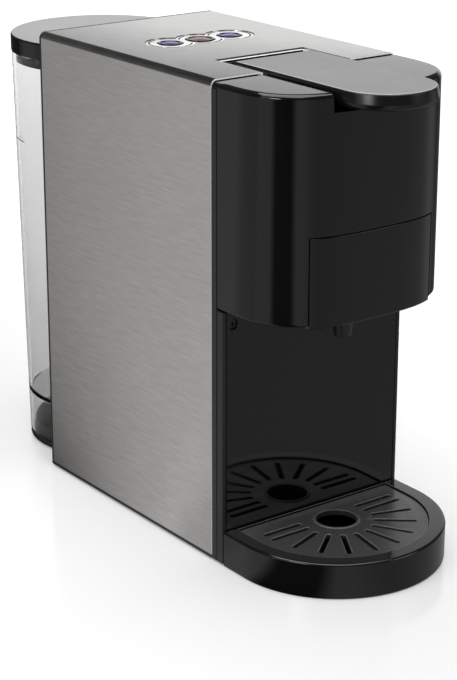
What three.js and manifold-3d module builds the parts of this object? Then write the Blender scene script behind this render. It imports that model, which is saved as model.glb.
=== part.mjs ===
// Pod coffee machine: a slim steel-wrapped body with a round-fronted brewing head, a lift-up lever, a capsule
// drawer, a drip tray with a slotted grate, three push buttons and a lift-off water tank behind.
// Millimetres, +Z up, +X to the right seen from the front, +Y to the rear. The origin is at the centre of the
// bottom of the bounding box. Inside the machine group Y = 0 is the front edge of the steel cover.

import * as THREE from "three";
import { mergeVertices } from "three/addons/utils/BufferGeometryUtils.js";
import Module from "manifold-3d";

// ---------------------------------------------------------------------------------------------------------
// Driving dimensions
// ---------------------------------------------------------------------------------------------------------

// Overall body
const BODY_WIDTH = 127.5;          // across the steel cover
const BODY_DEPTH = 170;            // steel front edge to the back of the rear panel
const BODY_HEIGHT = 275;           // floor to the top of the steel cover
const SHEET = 1;                   // steel sheet thickness
const CORNER_RADIUS = 4;           // top edges of the steel cover
const BASE_LIFT = 1.2;             // underside of the base above the floor
const STEEL_BOTTOM = 3;            // lower edge of the steel cover
const REAR_PANEL_THICKNESS = 1.5;
const OUTLET_X = 8;                // water outlet from the tank dock through the rear panel
const OUTLET_Z = 8.5;
const GLAND_Z = 32;                // mains cord inlet
const GLAND_INSET = 9;             // from the body's side
const GLAND_RADIUS = 3.9;
const CORD_BORE = 2.4;
const GAP = 0.3;                   // between pieces that touch
const PLASTIC_WALL = 2.4;

// Front frame, head and lever
const FRAME_DEPTH = 10.5;          // plastic frame in front of the steel
const PANEL_THICKNESS = 2.2;       // glossy panel on the column's face
const HEAD_DEPTH = 52;             // from the frame's face to the head's front
const HEAD_TOP = BODY_HEIGHT - 1;
const HEAD_BOTTOM = HEAD_TOP - 124;
const HEAD_CURVE_POWER = 3;        // superellipse power of the head's plan
const BROW_THICKNESS = 3;          // the head's top plate where it runs back over the frame
const DRAWER_HALF_WIDTH = 42;
const DRAWER_BOTTOM = HEAD_BOTTOM - 1.5;
const DRAWER_TOP = DRAWER_BOTTOM + 49.7;
const DRAWER_TRAY_HALF_WIDTH = 34;
const SEAM = 0.6;                  // visible seam round the drawer front
const BREW_Y = -35;                // brewing axis
const CAPSULE_RADIUS = 20;         // bore of the capsule seat
const CAPSULE_SEAT_DEPTH = 32;
const SPOUT_TIP = DRAWER_BOTTOM - 17.5;
const SPOUT_RADIUS = 6;
const SPOUT_BORE = 2.5;
const LEVER_WIDTH = 57.5;
const LEVER_REAR = 27;
const LEVER_SHOULDER = -65;        // where the straight sides end and the round nose starts
const LEVER_NOSE = LEVER_SHOULDER - 28;
const LEVER_TOP = BODY_HEIGHT + 1;
const LEVER_BOTTOM = LEVER_TOP - 9;
const LEVER_PLATE_THICKNESS = 2.4;
const LEVER_PLATE_INSET = 0.9;
const CHANNEL_CLEARANCE = 1.75;    // beside the lever in the head and in the steel notch
const CHANNEL_FLOOR = LEVER_BOTTOM - 3;
const NOTCH_REAR = 41;
const HINGE_Y = 30;
const HINGE_Z = LEVER_BOTTOM;
const HINGE_PIN_RADIUS = 2;
const HINGE_KNUCKLE_RADIUS = 4.6;
const PIN_CLEARANCE = 0.3;
const CRANK_RADIUS = 11;           // hinge axis to crank pin
const CRANK_ANGLE = 52;            // degrees below the horizontal, lever closed
const CRANK_X = 7;                 // middle of each crank plate
const CRANK_THICKNESS = 3;
const YOKE_HALF_WIDTH = 4.6;
const PLUNGER_LIFT = 14.6;         // travel of the plunger while the lever opens
const PLUNGER_BOTTOM = DRAWER_TOP + 1.4;
const PLUNGER_RADIUS = 17;
const CARRIAGE_BOTTOM = PLUNGER_BOTTOM + 26.4;
const CARRIAGE_THICKNESS = 8;
const POST_X = 31;
const POST_RADIUS = 3;

const BULKHEAD_Y = 58;             // front of the bulkhead inside the body

// Buttons
const BUTTON_Y = 97;
const BUTTON_SPACING = 21;
const BUTTON_RADII = [7.3, 8.5, 7.3];
const BUTTON_CLEARANCE = 0.4;
const BUTTON_TRAVEL = 1.2;
const RECESS_RADIUS = 14.5;
const RECESS_DEPTH = 1.3;
const BEZEL_THICKNESS = 1.6;
const BOARD_Z = BODY_HEIGHT - 19;
const BOARD_THICKNESS = 1.6;

// Drip tray
const TRAY_RADIUS = BODY_WIDTH / 2 - 0.25;
const TRAY_CENTRE = -30;
const TRAY_HEIGHT = 21;
const TRAY_FLOOR = 2.4;
const GRATE_RADIUS = TRAY_RADIUS - 9.5;
const GRATE_THICKNESS = 3;
const GRATE_TOP = 20;
const GRATE_LEDGE = 3;
const GRATE_HOLE_RADIUS = 11.7;
const GRATE_HOLE_Y = -33;
const SLOT_WIDTH = 3;
const SLOT_INNER = 21;             // from the hole's centre to a slot's inner end
const SLOT_OUTER = GRATE_RADIUS - 8.5;
const FAN_SLOTS = 8;
const FAN_FIRST_ANGLE = 199;       // degrees from +X, first slot of the front fan
const FAN_LAST_ANGLE = 341;
const SIDE_SLOT_PITCH = 7;

// Water tank
const TANK_RADIUS = 55.6;
const TANK_BASE_RADIUS = TANK_RADIUS - 4.1;
const TANK_CENTRE = BODY_DEPTH + 31;
const TANK_BOTTOM = 3.5;
const TANK_TOP = BODY_HEIGHT - 21;
const TANK_WALL = 2;
const TANK_FLOOR_Z = 31;
const TANK_FLOOR_THICKNESS = 2.5;
const TANK_FLAT_GAP = 1.4;         // rear panel to the tank's flat front
const LID_RADIUS = TANK_RADIUS + 0.4;
const LID_THICKNESS = 10.6;
const LID_PLUG_DEPTH = 6;
const VALVE_HOLE_RADIUS = 5;
const VALVE_STEM_RADIUS = 2.4;
const VALVE_DISC_RADIUS = 7;
const VALVE_STEM_BOTTOM = 26.6;
const VALVE_STEM_LENGTH = 27;
const DOCK_SOCKET_RADIUS = 15;
const DOCK_SOCKET_TOP = 24;

// Feet
const FOOT_RADIUS = 7;
const FOOT_HEIGHT = 3.4;
const FOOT_INSET_X = 15;
const FOOT_INSET_Y = 18;

// ---------------------------------------------------------------------------------------------------------
// Values worked out from them
// ---------------------------------------------------------------------------------------------------------

const HALF = BODY_WIDTH / 2;
const INNER_HALF = HALF - SHEET - GAP;
const STEEL_REAR = BODY_DEPTH - REAR_PANEL_THICKNESS - GAP;
const HEAD_HALF = HALF - 0.25;
const FRAME_FRONT = -FRAME_DEPTH;
const HEAD_FRONT = FRAME_FRONT - HEAD_DEPTH;
const TANK_REAR = TANK_CENTRE + LID_RADIUS;
const TANK_FLAT = BODY_DEPTH + TANK_FLAT_GAP;
const GLAND_X = HALF - GLAND_INSET;
const FRONT_MOST = Math.min(TRAY_CENTRE - TRAY_RADIUS, LEVER_NOSE);
const MIDDLE = (FRONT_MOST + TANK_REAR) / 2;
const CHANNEL_HALF = LEVER_WIDTH / 2 + CHANNEL_CLEARANCE;
const FLOOR_TOP = BASE_LIFT + 4.4;
const CRANK = THREE.MathUtils.degToRad(CRANK_ANGLE);
const CRANK_PIN_Y = HINGE_Y - CRANK_RADIUS * Math.cos(CRANK);
const CRANK_PIN_Z = HINGE_Z - CRANK_RADIUS * Math.sin(CRANK);

const wasm = await Module();
wasm.setup();

// ---------------------------------------------------------------------------------------------------------
// Materials
// ---------------------------------------------------------------------------------------------------------

function material(color, roughness, metalness = 0) {
  return new THREE.MeshStandardMaterial({ color, roughness, metalness });
}

const STEEL = material(0x9b9a95, 0.32, 1);
const GLOSS_BLACK = material(0x0d0d0e, 0.12);
const SATIN_BLACK = material(0x1a1a1b, 0.45);
const GREY_PLASTIC = material(0x6d6d6d, 0.5);
const BRIGHT = material(0xd4d4d2, 0.15, 1);
const RUBBER = material(0x141414, 0.9);
const CLEAR = new THREE.MeshStandardMaterial({
  color: 0xd9dbdc, roughness: 0.05, metalness: 0, transparent: true, opacity: 0.35,
});
const BLUE_BUTTON = material(0x4a4596, 0.3);
const RED_BUTTON = material(0x5e3a42, 0.3);
const PLATED = material(0xb8b8b4, 0.35, 1);
const CAST_ALUMINIUM = material(0xa9abad, 0.5, 1);
const WHITE_PLASTIC = material(0xd8d6cf, 0.5);
const BOARD_GREEN = material(0x1f5a3a, 0.5);
const SILICONE = material(0xc9c4b8, 0.6);

// ---------------------------------------------------------------------------------------------------------
// Solids
// ---------------------------------------------------------------------------------------------------------

/** A closed three.js geometry as a solid for joining and cutting. */
function solid(geometry) {
  const plain = geometry.clone();
  for (const name of ["normal", "uv"]) {
    plain.deleteAttribute(name);
  }
  const merged = mergeVertices(plain, 1e-4);
  return new wasm.Manifold(new wasm.Mesh({
    numProp: 3,
    vertProperties: new Float32Array(merged.attributes.position.array),
    triVerts: new Uint32Array(merged.index.array),
  }));
}

/** A solid back as a geometry. */
function geometryOf(body) {
  const mesh = body.getMesh();
  const geometry = new THREE.BufferGeometry();
  geometry.setAttribute("position", new THREE.BufferAttribute(new Float32Array(mesh.vertProperties), 3));
  geometry.setIndex(new THREE.BufferAttribute(new Uint32Array(mesh.triVerts), 1));
  geometry.computeVertexNormals();
  return geometry;
}

/** A box from its low and high corners. */
function block(x0, x1, y0, y1, z0, z1) {
  const geometry = new THREE.BoxGeometry(x1 - x0, y1 - y0, z1 - z0);
  geometry.translate((x0 + x1) / 2, (y0 + y1) / 2, (z0 + z1) / 2);
  return solid(geometry);
}

/** A cylinder along "x", "y" or "z" from low to high, centred on the other two coordinates. */
function rod(axis, radius, low, high, a, b, segments = 20) {
  const geometry = new THREE.CylinderGeometry(radius, radius, high - low, segments);
  const middle = (low + high) / 2;
  if (axis === "x") {
    geometry.rotateZ(Math.PI / 2);
    geometry.translate(middle, a, b);
  } else if (axis === "y") {
    geometry.translate(a, middle, b);
  } else {
    geometry.rotateX(Math.PI / 2);
    geometry.translate(a, b, middle);
  }
  return solid(geometry);
}

/** A plan outline raised from z0 to z1, its top and bottom edges rounded if a bevel is given. */
function raised(shape, z0, z1, { bevel = 0, bevelSegments = 2, curveSegments = 14 } = {}) {
  const geometry = new THREE.ExtrudeGeometry(shape, {
    depth: z1 - z0 - 2 * bevel,
    bevelEnabled: bevel > 0,
    bevelThickness: bevel,
    bevelSize: bevel,
    bevelOffset: -bevel,
    bevelSegments,
    curveSegments,
  });
  geometry.translate(0, 0, z0 + bevel);
  return solid(geometry);
}

/** A solid of revolution about the vertical line through (x, y), from a profile of [radius, z] points. */
function turned(profile, x, y, segments = 40) {
  const points = profile.map(([radius, z]) => new THREE.Vector2(radius, z));
  const geometry = new THREE.LatheGeometry(points, segments);
  geometry.rotateX(Math.PI / 2);
  geometry.translate(x, y, 0);
  return solid(geometry);
}

/** A round tube through a list of [x, y, z] points. */
function tube(points, radius, steps) {
  const path = new THREE.CatmullRomCurve3(points.map((point) => new THREE.Vector3(...point)), false,
    "centripetal");
  const section = new THREE.Shape().absarc(0, 0, radius, 0, 2 * Math.PI);
  return solid(new THREE.ExtrudeGeometry(section, { extrudePath: path, steps, curveSegments: 4 }));
}

function joined(...bodies) {
  return bodies.reduce((whole, body) => whole.add(body));
}

function cut(body, ...cutters) {
  return cutters.reduce((left, cutter) => left.subtract(cutter), body);
}

// ---------------------------------------------------------------------------------------------------------
// Outlines
// ---------------------------------------------------------------------------------------------------------

function roundedRectangle(x0, x1, y0, y1, radius) {
  const shape = new THREE.Shape();
  shape.moveTo(x0 + radius, y0);
  shape.lineTo(x1 - radius, y0);
  shape.absarc(x1 - radius, y0 + radius, radius, -Math.PI / 2, 0);
  shape.lineTo(x1, y1 - radius);
  shape.absarc(x1 - radius, y1 - radius, radius, 0, Math.PI / 2);
  shape.lineTo(x0 + radius, y1);
  shape.absarc(x0 + radius, y1 - radius, radius, Math.PI / 2, Math.PI);
  shape.lineTo(x0, y0 + radius);
  shape.absarc(x0 + radius, y0 + radius, radius, Math.PI, 1.5 * Math.PI);
  return shape;
}

/** The body's front outline in X and Z: straight sides and a rounded top, offset inwards by inset. */
function bodyOutline(inset, bottom) {
  const half = HALF - inset;
  const top = BODY_HEIGHT - inset;
  const radius = Math.max(CORNER_RADIUS - inset, 0.5);
  const shape = new THREE.Shape();
  shape.moveTo(-half, bottom);
  shape.lineTo(half, bottom);
  shape.lineTo(half, top - radius);
  shape.absarc(half - radius, top - radius, radius, 0, Math.PI / 2);
  shape.lineTo(-half + radius, top);
  shape.absarc(-half + radius, top - radius, radius, Math.PI / 2, Math.PI);
  return shape;
}

/** The body's outline as a solid between two depths. */
function bodySlab(inset, bottom, y0, y1) {
  const geometry = new THREE.ExtrudeGeometry(bodyOutline(inset, bottom), {
    depth: y1 - y0, bevelEnabled: false, curveSegments: 5,
  });
  geometry.rotateX(Math.PI / 2);
  geometry.translate(0, y1, 0);
  return solid(geometry);
}

/** The head's plan: a superellipse front, offset inwards, with a straight part behind to be trimmed off. */
function headOutline(inset) {
  const half = HEAD_HALF - inset;
  const depth = HEAD_DEPTH - inset;
  const back = FRAME_FRONT + 10;
  const shape = new THREE.Shape();
  shape.moveTo(half, back);
  const steps = 28;
  for (let i = 0; i <= steps; i += 1) {
    const angle = (Math.PI * i) / steps;
    const power = 2 / HEAD_CURVE_POWER;
    const x = half * Math.sign(Math.cos(angle)) * Math.abs(Math.cos(angle)) ** power;
    shape.lineTo(x, FRAME_FRONT - GAP - depth * Math.sin(angle) ** power);
  }
  shape.lineTo(-half, back);
  return shape;
}

/** The lever's plan: straight sides and a half-ellipse nose, offset inwards by inset. */
function leverOutline(inset, rear) {
  const half = LEVER_WIDTH / 2 - inset;
  const shape = new THREE.Shape();
  shape.moveTo(-half, rear);
  shape.lineTo(-half, LEVER_SHOULDER);
  shape.absellipse(0, LEVER_SHOULDER, half, LEVER_SHOULDER - LEVER_NOSE - inset, Math.PI, 2 * Math.PI);
  shape.lineTo(half, rear);
  return shape;
}

/** The drip tray's plan: a half circle in front of straight sides, offset inwards by inset. */
function trayOutline(inset, back, radius = TRAY_RADIUS) {
  const shape = new THREE.Shape();
  shape.moveTo(radius - inset, back);
  shape.lineTo(-(radius - inset), back);
  shape.lineTo(-(radius - inset), TRAY_CENTRE);
  shape.absarc(0, TRAY_CENTRE, radius - inset, Math.PI, 2 * Math.PI);
  return shape;
}

/** Three overlapping circles round the buttons. */
function buttonLobes(inset, z0, z1) {
  const lobes = [-1, 0, 1].map((side) => rod("z", RECESS_RADIUS - inset, z0, z1, side * BUTTON_SPACING,
    BUTTON_Y, 28));
  return joined(...lobes);
}

// ---------------------------------------------------------------------------------------------------------
// The assembly
// ---------------------------------------------------------------------------------------------------------

const object = new THREE.Group();
const machine = new THREE.Group();
machine.position.y = -MIDDLE;
object.add(machine);

function place(name, body, look) {
  const mesh = new THREE.Mesh(geometryOf(body), look);
  mesh.name = name;
  machine.add(mesh);
}

// --- Base, feet and tank dock -----------------------------------------------------------------------------

const FOOT_PLACES = {
  foot_front_left: [-HALF + FOOT_INSET_X, FOOT_INSET_Y],
  foot_front_right: [HALF - FOOT_INSET_X, FOOT_INSET_Y],
  foot_rear_left: [-HALF + FOOT_INSET_X, BODY_DEPTH - FOOT_INSET_Y],
  foot_rear_right: [HALF - FOOT_INSET_X, BODY_DEPTH - FOOT_INSET_Y],
  foot_dock: [0, TANK_CENTRE + TANK_BASE_RADIUS - FOOT_INSET_Y],
};

function footSocket([x, y]) {
  return rod("z", FOOT_RADIUS + GAP, 0, FOOT_HEIGHT + GAP, x, y);
}

for (const [name, [x, y]] of Object.entries(FOOT_PLACES)) {
  place(name, turned([
    [0, 0], [FOOT_RADIUS - 0.8, 0], [FOOT_RADIUS, 0.8], [FOOT_RADIUS, FOOT_HEIGHT], [0, FOOT_HEIGHT],
  ], x, y, 24), RUBBER);
}

function basePan() {
  const flange = block(-HALF, HALF, 0, STEEL_REAR, BASE_LIFT, STEEL_BOTTOM - GAP);
  const inner = INNER_HALF;
  const pan = block(-inner, inner, GAP, STEEL_REAR - GAP, BASE_LIFT, 20);
  const hollow = block(-inner + PLASTIC_WALL, inner - PLASTIC_WALL, PLASTIC_WALL, STEEL_REAR - PLASTIC_WALL,
    FLOOR_TOP, 21);
  const sockets = Object.values(FOOT_PLACES).slice(0, 4).map(footSocket);
  const outlet = rod("y", 3.2, STEEL_REAR - 10, BODY_DEPTH, OUTLET_X, OUTLET_Z + 0.7, 16);
  return cut(joined(flange, pan), hollow, outlet, ...sockets);
}
place("base_pan", basePan(), SATIN_BLACK);

function tankDock() {
  const reach = TANK_BASE_RADIUS - TANK_WALL - 1.2;
  const front = TANK_FLAT + TANK_WALL + 1;
  const plate = turned([
    [0, BASE_LIFT], [TANK_BASE_RADIUS, BASE_LIFT], [TANK_BASE_RADIUS, TANK_BOTTOM - GAP],
    [0, TANK_BOTTOM - GAP],
  ], 0, TANK_CENTRE);
  const rise = turned([[0, 2], [reach, 2], [reach, 12], [reach - 8, 15], [0, 15]], 0, TANK_CENTRE)
    .intersect(block(-HALF, HALF, front, TANK_REAR, 0, 20));
  const tongue = block(-38, 38, BODY_DEPTH + GAP, TANK_CENTRE, BASE_LIFT, TANK_BOTTOM - GAP);
  const socket = rod("z", DOCK_SOCKET_RADIUS, 10, DOCK_SOCKET_TOP, 0, TANK_CENTRE, 24);
  const well = rod("z", DOCK_SOCKET_RADIUS - 3, 17, DOCK_SOCKET_TOP + 1, 0, TANK_CENTRE, 32);
  const drain = rod("z", 2.2, OUTLET_Z - 1, 18, OUTLET_X, TANK_CENTRE, 12);
  const outlet = rod("y", 2.2, BODY_DEPTH, TANK_CENTRE, OUTLET_X, OUTLET_Z, 12);
  const body = joined(plate.intersect(block(-HALF, HALF, BODY_DEPTH + GAP, TANK_REAR, 0, 20)), rise,
    tongue, socket);
  const trimmed = cut(body, well, drain, outlet, footSocket(FOOT_PLACES.foot_dock));
  const pusher = rod("z", 1.6, 16, VALVE_STEM_BOTTOM - GAP, 0, TANK_CENTRE, 12);
  return trimmed.add(pusher);
}
place("tank_dock", tankDock(), SATIN_BLACK);

place("dock_seal", turned([
  [DOCK_SOCKET_RADIUS - 5.5, 17 + GAP], [DOCK_SOCKET_RADIUS - 3.4, 17 + GAP],
  [DOCK_SOCKET_RADIUS - 3.4, 21], [DOCK_SOCKET_RADIUS - 5.5, 21], [DOCK_SOCKET_RADIUS - 5.5, 17 + GAP],
], 0, TANK_CENTRE, 32), SILICONE);

// --- Covers -----------------------------------------------------------------------------------------------

function steelCover() {
  const sheet = cut(bodySlab(0, STEEL_BOTTOM, 0, STEEL_REAR), bodySlab(SHEET, 0, -1, BODY_DEPTH));
  const notch = block(-CHANNEL_HALF, CHANNEL_HALF, -1, NOTCH_REAR, BODY_HEIGHT - 10, BODY_HEIGHT + 1);
  return cut(sheet, notch, buttonLobes(0, BODY_HEIGHT - 5, BODY_HEIGHT + 1));
}
place("steel_cover", steelCover(), STEEL);

function rearPanel() {
  const plate = bodySlab(0, BASE_LIFT, BODY_DEPTH - REAR_PANEL_THICKNESS, BODY_DEPTH);
  const rim = cut(bodySlab(SHEET + GAP, 22, STEEL_REAR - 10, BODY_DEPTH - 1),
    bodySlab(4, 24, BODY_DEPTH - 70, BODY_DEPTH - 1.2));
  const outlet = rod("y", 5, BODY_DEPTH - 30, BODY_DEPTH + 1, OUTLET_X, OUTLET_Z, 16);
  const gland = rod("y", GLAND_RADIUS + GAP, BODY_DEPTH - 30, BODY_DEPTH + 1, GLAND_X, GLAND_Z);
  return cut(joined(plate, rim), outlet, gland);
}
place("rear_panel", rearPanel(), SATIN_BLACK);

function cordGland() {
  const front = BODY_DEPTH - REAR_PANEL_THICKNESS - 4;
  const body = joined(
    rod("y", GLAND_RADIUS, front, BODY_DEPTH + 6, GLAND_X, GLAND_Z),
    rod("y", GLAND_RADIUS + 1.7, BODY_DEPTH + GAP, BODY_DEPTH + 2.3, GLAND_X, GLAND_Z),
  );
  return cut(body, rod("y", CORD_BORE, front - 1, BODY_DEPTH + 7, GLAND_X, GLAND_Z, 16));
}
place("cord_gland", cordGland(), RUBBER);

function frontFrame() {
  const top = HEAD_TOP - BROW_THICKNESS - GAP;
  const slab = bodySlab(0, BASE_LIFT, FRAME_FRONT, -GAP).intersect(block(-HALF, HALF, -20, 5, 0, top));
  const pocket = block(-HALF + PLASTIC_WALL, HALF - PLASTIC_WALL, FRAME_FRONT - 1,
    FRAME_FRONT + PANEL_THICKNESS + GAP,
    0, HEAD_BOTTOM + GAP);
  const back = block(-HALF + 4, HALF - 4, FRAME_FRONT + PANEL_THICKNESS + 3, 1, 22, HEAD_BOTTOM - 6);
  const doorway = block(-50, 50, -20, 5, HEAD_BOTTOM + 8, CHANNEL_FLOOR - 4);
  const notch = block(-CHANNEL_HALF, CHANNEL_HALF, -20, 5, CHANNEL_FLOOR - 5, BODY_HEIGHT);
  return cut(slab, pocket, back, doorway, notch);
}
place("front_frame", frontFrame(), SATIN_BLACK);

const SCREW_X = HALF - 7.25;
const SCREW_Z = HEAD_BOTTOM - 8;

function frontPanel() {
  const half = HALF - PLASTIC_WALL - GAP;
  const plate = block(-half, half, FRAME_FRONT, FRAME_FRONT + PANEL_THICKNESS, BASE_LIFT, HEAD_BOTTOM - GAP);
  const holes = [-1, 1].map((side) => rod("y", 3, -20, 5, side * SCREW_X, SCREW_Z, 20));
  return cut(plate, ...holes);
}
place("front_panel", frontPanel(), GLOSS_BLACK);

for (const [name, side] of [["panel_screw_left", -1], ["panel_screw_right", 1]]) {
  const head = rod("y", 2.6, FRAME_FRONT + 0.9, FRAME_FRONT + PANEL_THICKNESS, side * SCREW_X, SCREW_Z, 20);
  const drive = joined(
    block(side * SCREW_X - 1.7, side * SCREW_X + 1.7, -20, FRAME_FRONT + 1.7, SCREW_Z - 0.35,
    SCREW_Z + 0.35),
    block(side * SCREW_X - 0.35, side * SCREW_X + 0.35, -20, FRAME_FRONT + 1.7, SCREW_Z - 1.7,
    SCREW_Z + 1.7),
  );
  place(name, cut(head, drive), PLATED);
}

// --- Head -------------------------------------------------------------------------------------------------

const HEAD_BACK = FRAME_FRONT - GAP;

function headShell() {
  const outer = raised(headOutline(0), HEAD_BOTTOM, HEAD_TOP, { bevel: 1.6 });
  const inside = raised(headOutline(PLASTIC_WALL), HEAD_BOTTOM + PLASTIC_WALL, HEAD_TOP - PLASTIC_WALL);
  const shell = outer.subtract(inside).intersect(block(-HALF, HALF, HEAD_FRONT - 5, HEAD_BACK, 0, HEAD_TOP));
  const floorLow = CHANNEL_FLOOR - PLASTIC_WALL;
  const channelBox = block(-CHANNEL_HALF - PLASTIC_WALL, CHANNEL_HALF + PLASTIC_WALL, HEAD_FRONT - 5,
    HEAD_BACK,
    floorLow, HEAD_TOP - 2);
  const channelWalls = channelBox.intersect(raised(headOutline(1), floorLow, HEAD_TOP - 2));
  const channel = block(-CHANNEL_HALF, CHANNEL_HALF, HEAD_FRONT - 5, 5, CHANNEL_FLOOR, HEAD_TOP + 2);
  const opening = DRAWER_HALF_WIDTH + SEAM;
  const drawerMouth = block(-opening, opening, HEAD_FRONT - 5, HEAD_BACK + 5, HEAD_BOTTOM - 1,
    DRAWER_TOP + SEAM);
  const brow = bodySlab(HALF - HEAD_HALF, HEAD_TOP - BROW_THICKNESS, HEAD_BACK - 2, -GAP)
    .intersect(block(-HALF, HALF, -20, 0, CHANNEL_FLOOR, HEAD_TOP));
  return cut(joined(shell, channelWalls, brow), channel, drawerMouth);
}
place("head_shell", headShell(), GLOSS_BLACK);

function brewFrame() {
  const plate = raised(roundedRectangle(-HALF + 17.75, HALF - 17.75, BREW_Y - 21, HEAD_BACK, 4),
    DRAWER_TOP + SEAM + 1,
    DRAWER_TOP + 5, { curveSegments: 4 });
  const throat = rod("z", PLUNGER_RADIUS + 2.5, DRAWER_TOP, DRAWER_TOP + 8, 0, BREW_Y, 24);
  const walls = [-1, 1].map((side) => {
    const near = side * (DRAWER_TRAY_HALF_WIDTH + 0.8);
    const far = side * (DRAWER_TRAY_HALF_WIDTH + 3.4);
    return block(Math.min(near, far), Math.max(near, far), BREW_Y - 21, HEAD_BACK, HEAD_BOTTOM + 3,
      DRAWER_TOP + 3);
  });
  const back = block(-40, 40, HEAD_BACK - 2.4, HEAD_BACK, DRAWER_TOP + 3, CARRIAGE_BOTTOM - 1);
  const sockets = [-1, 1].map((side) => rod("z", POST_RADIUS + GAP, DRAWER_TOP, DRAWER_TOP + 8,
    side * POST_X, BREW_Y, 20));
  const inside = raised(headOutline(3 + 2 * GAP), HEAD_BOTTOM, HEAD_TOP);
  return cut(joined(plate, back, ...walls).intersect(inside), throat, ...sockets);
}
place("brew_frame", brewFrame(), GREY_PLASTIC);

for (const [name, side] of [["guide_post_left", -1], ["guide_post_right", 1]]) {
  place(name, rod("z", POST_RADIUS, DRAWER_TOP + SEAM + 1, CHANNEL_FLOOR - PLASTIC_WALL - 2, side * POST_X,
    BREW_Y, 20),
    PLATED);
}

// --- Plunger, lifted by the lever's crank ------------------------------------------------------------------

function plungerCarriage() {
  const top = CARRIAGE_BOTTOM + CARRIAGE_THICKNESS;
  const plate = raised(roundedRectangle(-38, 38, BREW_Y - 8, BREW_Y + 8, 4), CARRIAGE_BOTTOM, top,
    { curveSegments: 4 });
  const beam = block(-YOKE_HALF_WIDTH, YOKE_HALF_WIDTH, BREW_Y, CRANK_PIN_Y + 4, CARRIAGE_BOTTOM, top);
  const slotHalf = HINGE_PIN_RADIUS + 0.9;
  const slotFront = HINGE_Y - CRANK_RADIUS - HINGE_PIN_RADIUS - 1;
  const slotRear = CRANK_PIN_Y + HINGE_PIN_RADIUS + 0.8;
  const yoke = block(-YOKE_HALF_WIDTH, YOKE_HALF_WIDTH, slotFront - 2, slotRear + 1.6, CARRIAGE_BOTTOM,
    CRANK_PIN_Z + slotHalf + 1.6);
  const slot = block(-10, 10, slotFront, slotRear, CRANK_PIN_Z - slotHalf, CRANK_PIN_Z + slotHalf);
  const bores = [-1, 1].map((side) => rod("z", POST_RADIUS + PIN_CLEARANCE, PLUNGER_BOTTOM, HINGE_Z,
    side * POST_X,
    BREW_Y, 20));
  const inlet = rod("z", 2.6, CARRIAGE_BOTTOM - 1, top + 1, 12, BREW_Y, 16);
  return cut(joined(plate, beam, yoke), slot, inlet, ...bores);
}
place("plunger_carriage", plungerCarriage(), GREY_PLASTIC);

place("plunger", cut(
  turned([
    [0, PLUNGER_BOTTOM - 1.6], [1.2, PLUNGER_BOTTOM], [PLUNGER_RADIUS - 1.5, PLUNGER_BOTTOM],
    [PLUNGER_RADIUS, PLUNGER_BOTTOM + 1.5], [PLUNGER_RADIUS, PLUNGER_BOTTOM + 8],
    [PLUNGER_RADIUS - 2, PLUNGER_BOTTOM + 8],
    [PLUNGER_RADIUS - 2, PLUNGER_BOTTOM + 12], [PLUNGER_RADIUS, PLUNGER_BOTTOM + 12],
    [PLUNGER_RADIUS, CARRIAGE_BOTTOM - GAP], [0, CARRIAGE_BOTTOM - GAP],
  ], 0, BREW_Y, 24),
  rod("z", 1.4, PLUNGER_BOTTOM - 3, CARRIAGE_BOTTOM + 1, 9, BREW_Y, 12),
), WHITE_PLASTIC);

place("plunger_seal", turned([
  [PLUNGER_RADIUS - 2 + GAP, PLUNGER_BOTTOM + 8.4], [PLUNGER_RADIUS + 0.9, PLUNGER_BOTTOM + 8.4],
  [PLUNGER_RADIUS + 1.3, PLUNGER_BOTTOM + 10], [PLUNGER_RADIUS + 0.9, PLUNGER_BOTTOM + 11.6],
  [PLUNGER_RADIUS - 2 + GAP, PLUNGER_BOTTOM + 11.6], [PLUNGER_RADIUS - 2 + GAP, PLUNGER_BOTTOM + 8.4],
], 0, BREW_Y, 24), SILICONE);

// --- Capsule drawer ---------------------------------------------------------------------------------------

function drawerFront() {
  const skin = raised(headOutline(0), DRAWER_BOTTOM, DRAWER_TOP, { bevel: 0.5, bevelSegments: 1 })
    .subtract(raised(headOutline(3), DRAWER_BOTTOM - 5, DRAWER_TOP + 5));
  return skin.intersect(block(-DRAWER_HALF_WIDTH, DRAWER_HALF_WIDTH, HEAD_FRONT - 5, HEAD_FRONT + 20, 0,
    HEAD_TOP));
}
place("drawer_front", drawerFront(), GLOSS_BLACK);

function drawerTray() {
  const half = DRAWER_TRAY_HALF_WIDTH;
  const outline = headOutline(3 + GAP);
  const whole = raised(outline, DRAWER_BOTTOM + 2, DRAWER_TOP - 1)
    .intersect(block(-half, half, HEAD_FRONT - 5, HEAD_BACK - 3, 0, HEAD_TOP));
  const seat = joined(
    turned([
      [0, DRAWER_TOP - CAPSULE_SEAT_DEPTH], [CAPSULE_RADIUS - 7, DRAWER_TOP - CAPSULE_SEAT_DEPTH],
      [CAPSULE_RADIUS, DRAWER_TOP - 6], [CAPSULE_RADIUS, DRAWER_TOP + 1], [0, DRAWER_TOP + 1],
    ], 0, BREW_Y, 28),
    rod("z", 4, DRAWER_BOTTOM, DRAWER_TOP, 0, BREW_Y, 20),
  );
  const under = cut(
    block(-half + 3, half - 3, HEAD_FRONT + 8, HEAD_BACK - 6, DRAWER_BOTTOM - 2,
    DRAWER_TOP - CAPSULE_SEAT_DEPTH - 4),
    rod("z", 11, 0, HEAD_TOP, 0, BREW_Y, 24),
  );
  return cut(whole, seat, under);
}
place("drawer_tray", drawerTray(), SATIN_BLACK);

place("spout", turned([
  [SPOUT_BORE, SPOUT_TIP], [SPOUT_RADIUS - 1.2, SPOUT_TIP], [SPOUT_RADIUS, SPOUT_TIP + 8],
  [SPOUT_RADIUS + 1.5, DRAWER_BOTTOM - 1], [SPOUT_RADIUS + 4, DRAWER_BOTTOM + 2 - GAP],
  [SPOUT_BORE, DRAWER_BOTTOM + 2 - GAP], [SPOUT_BORE, SPOUT_TIP],
], 0, BREW_Y, 28), SATIN_BLACK);

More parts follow.
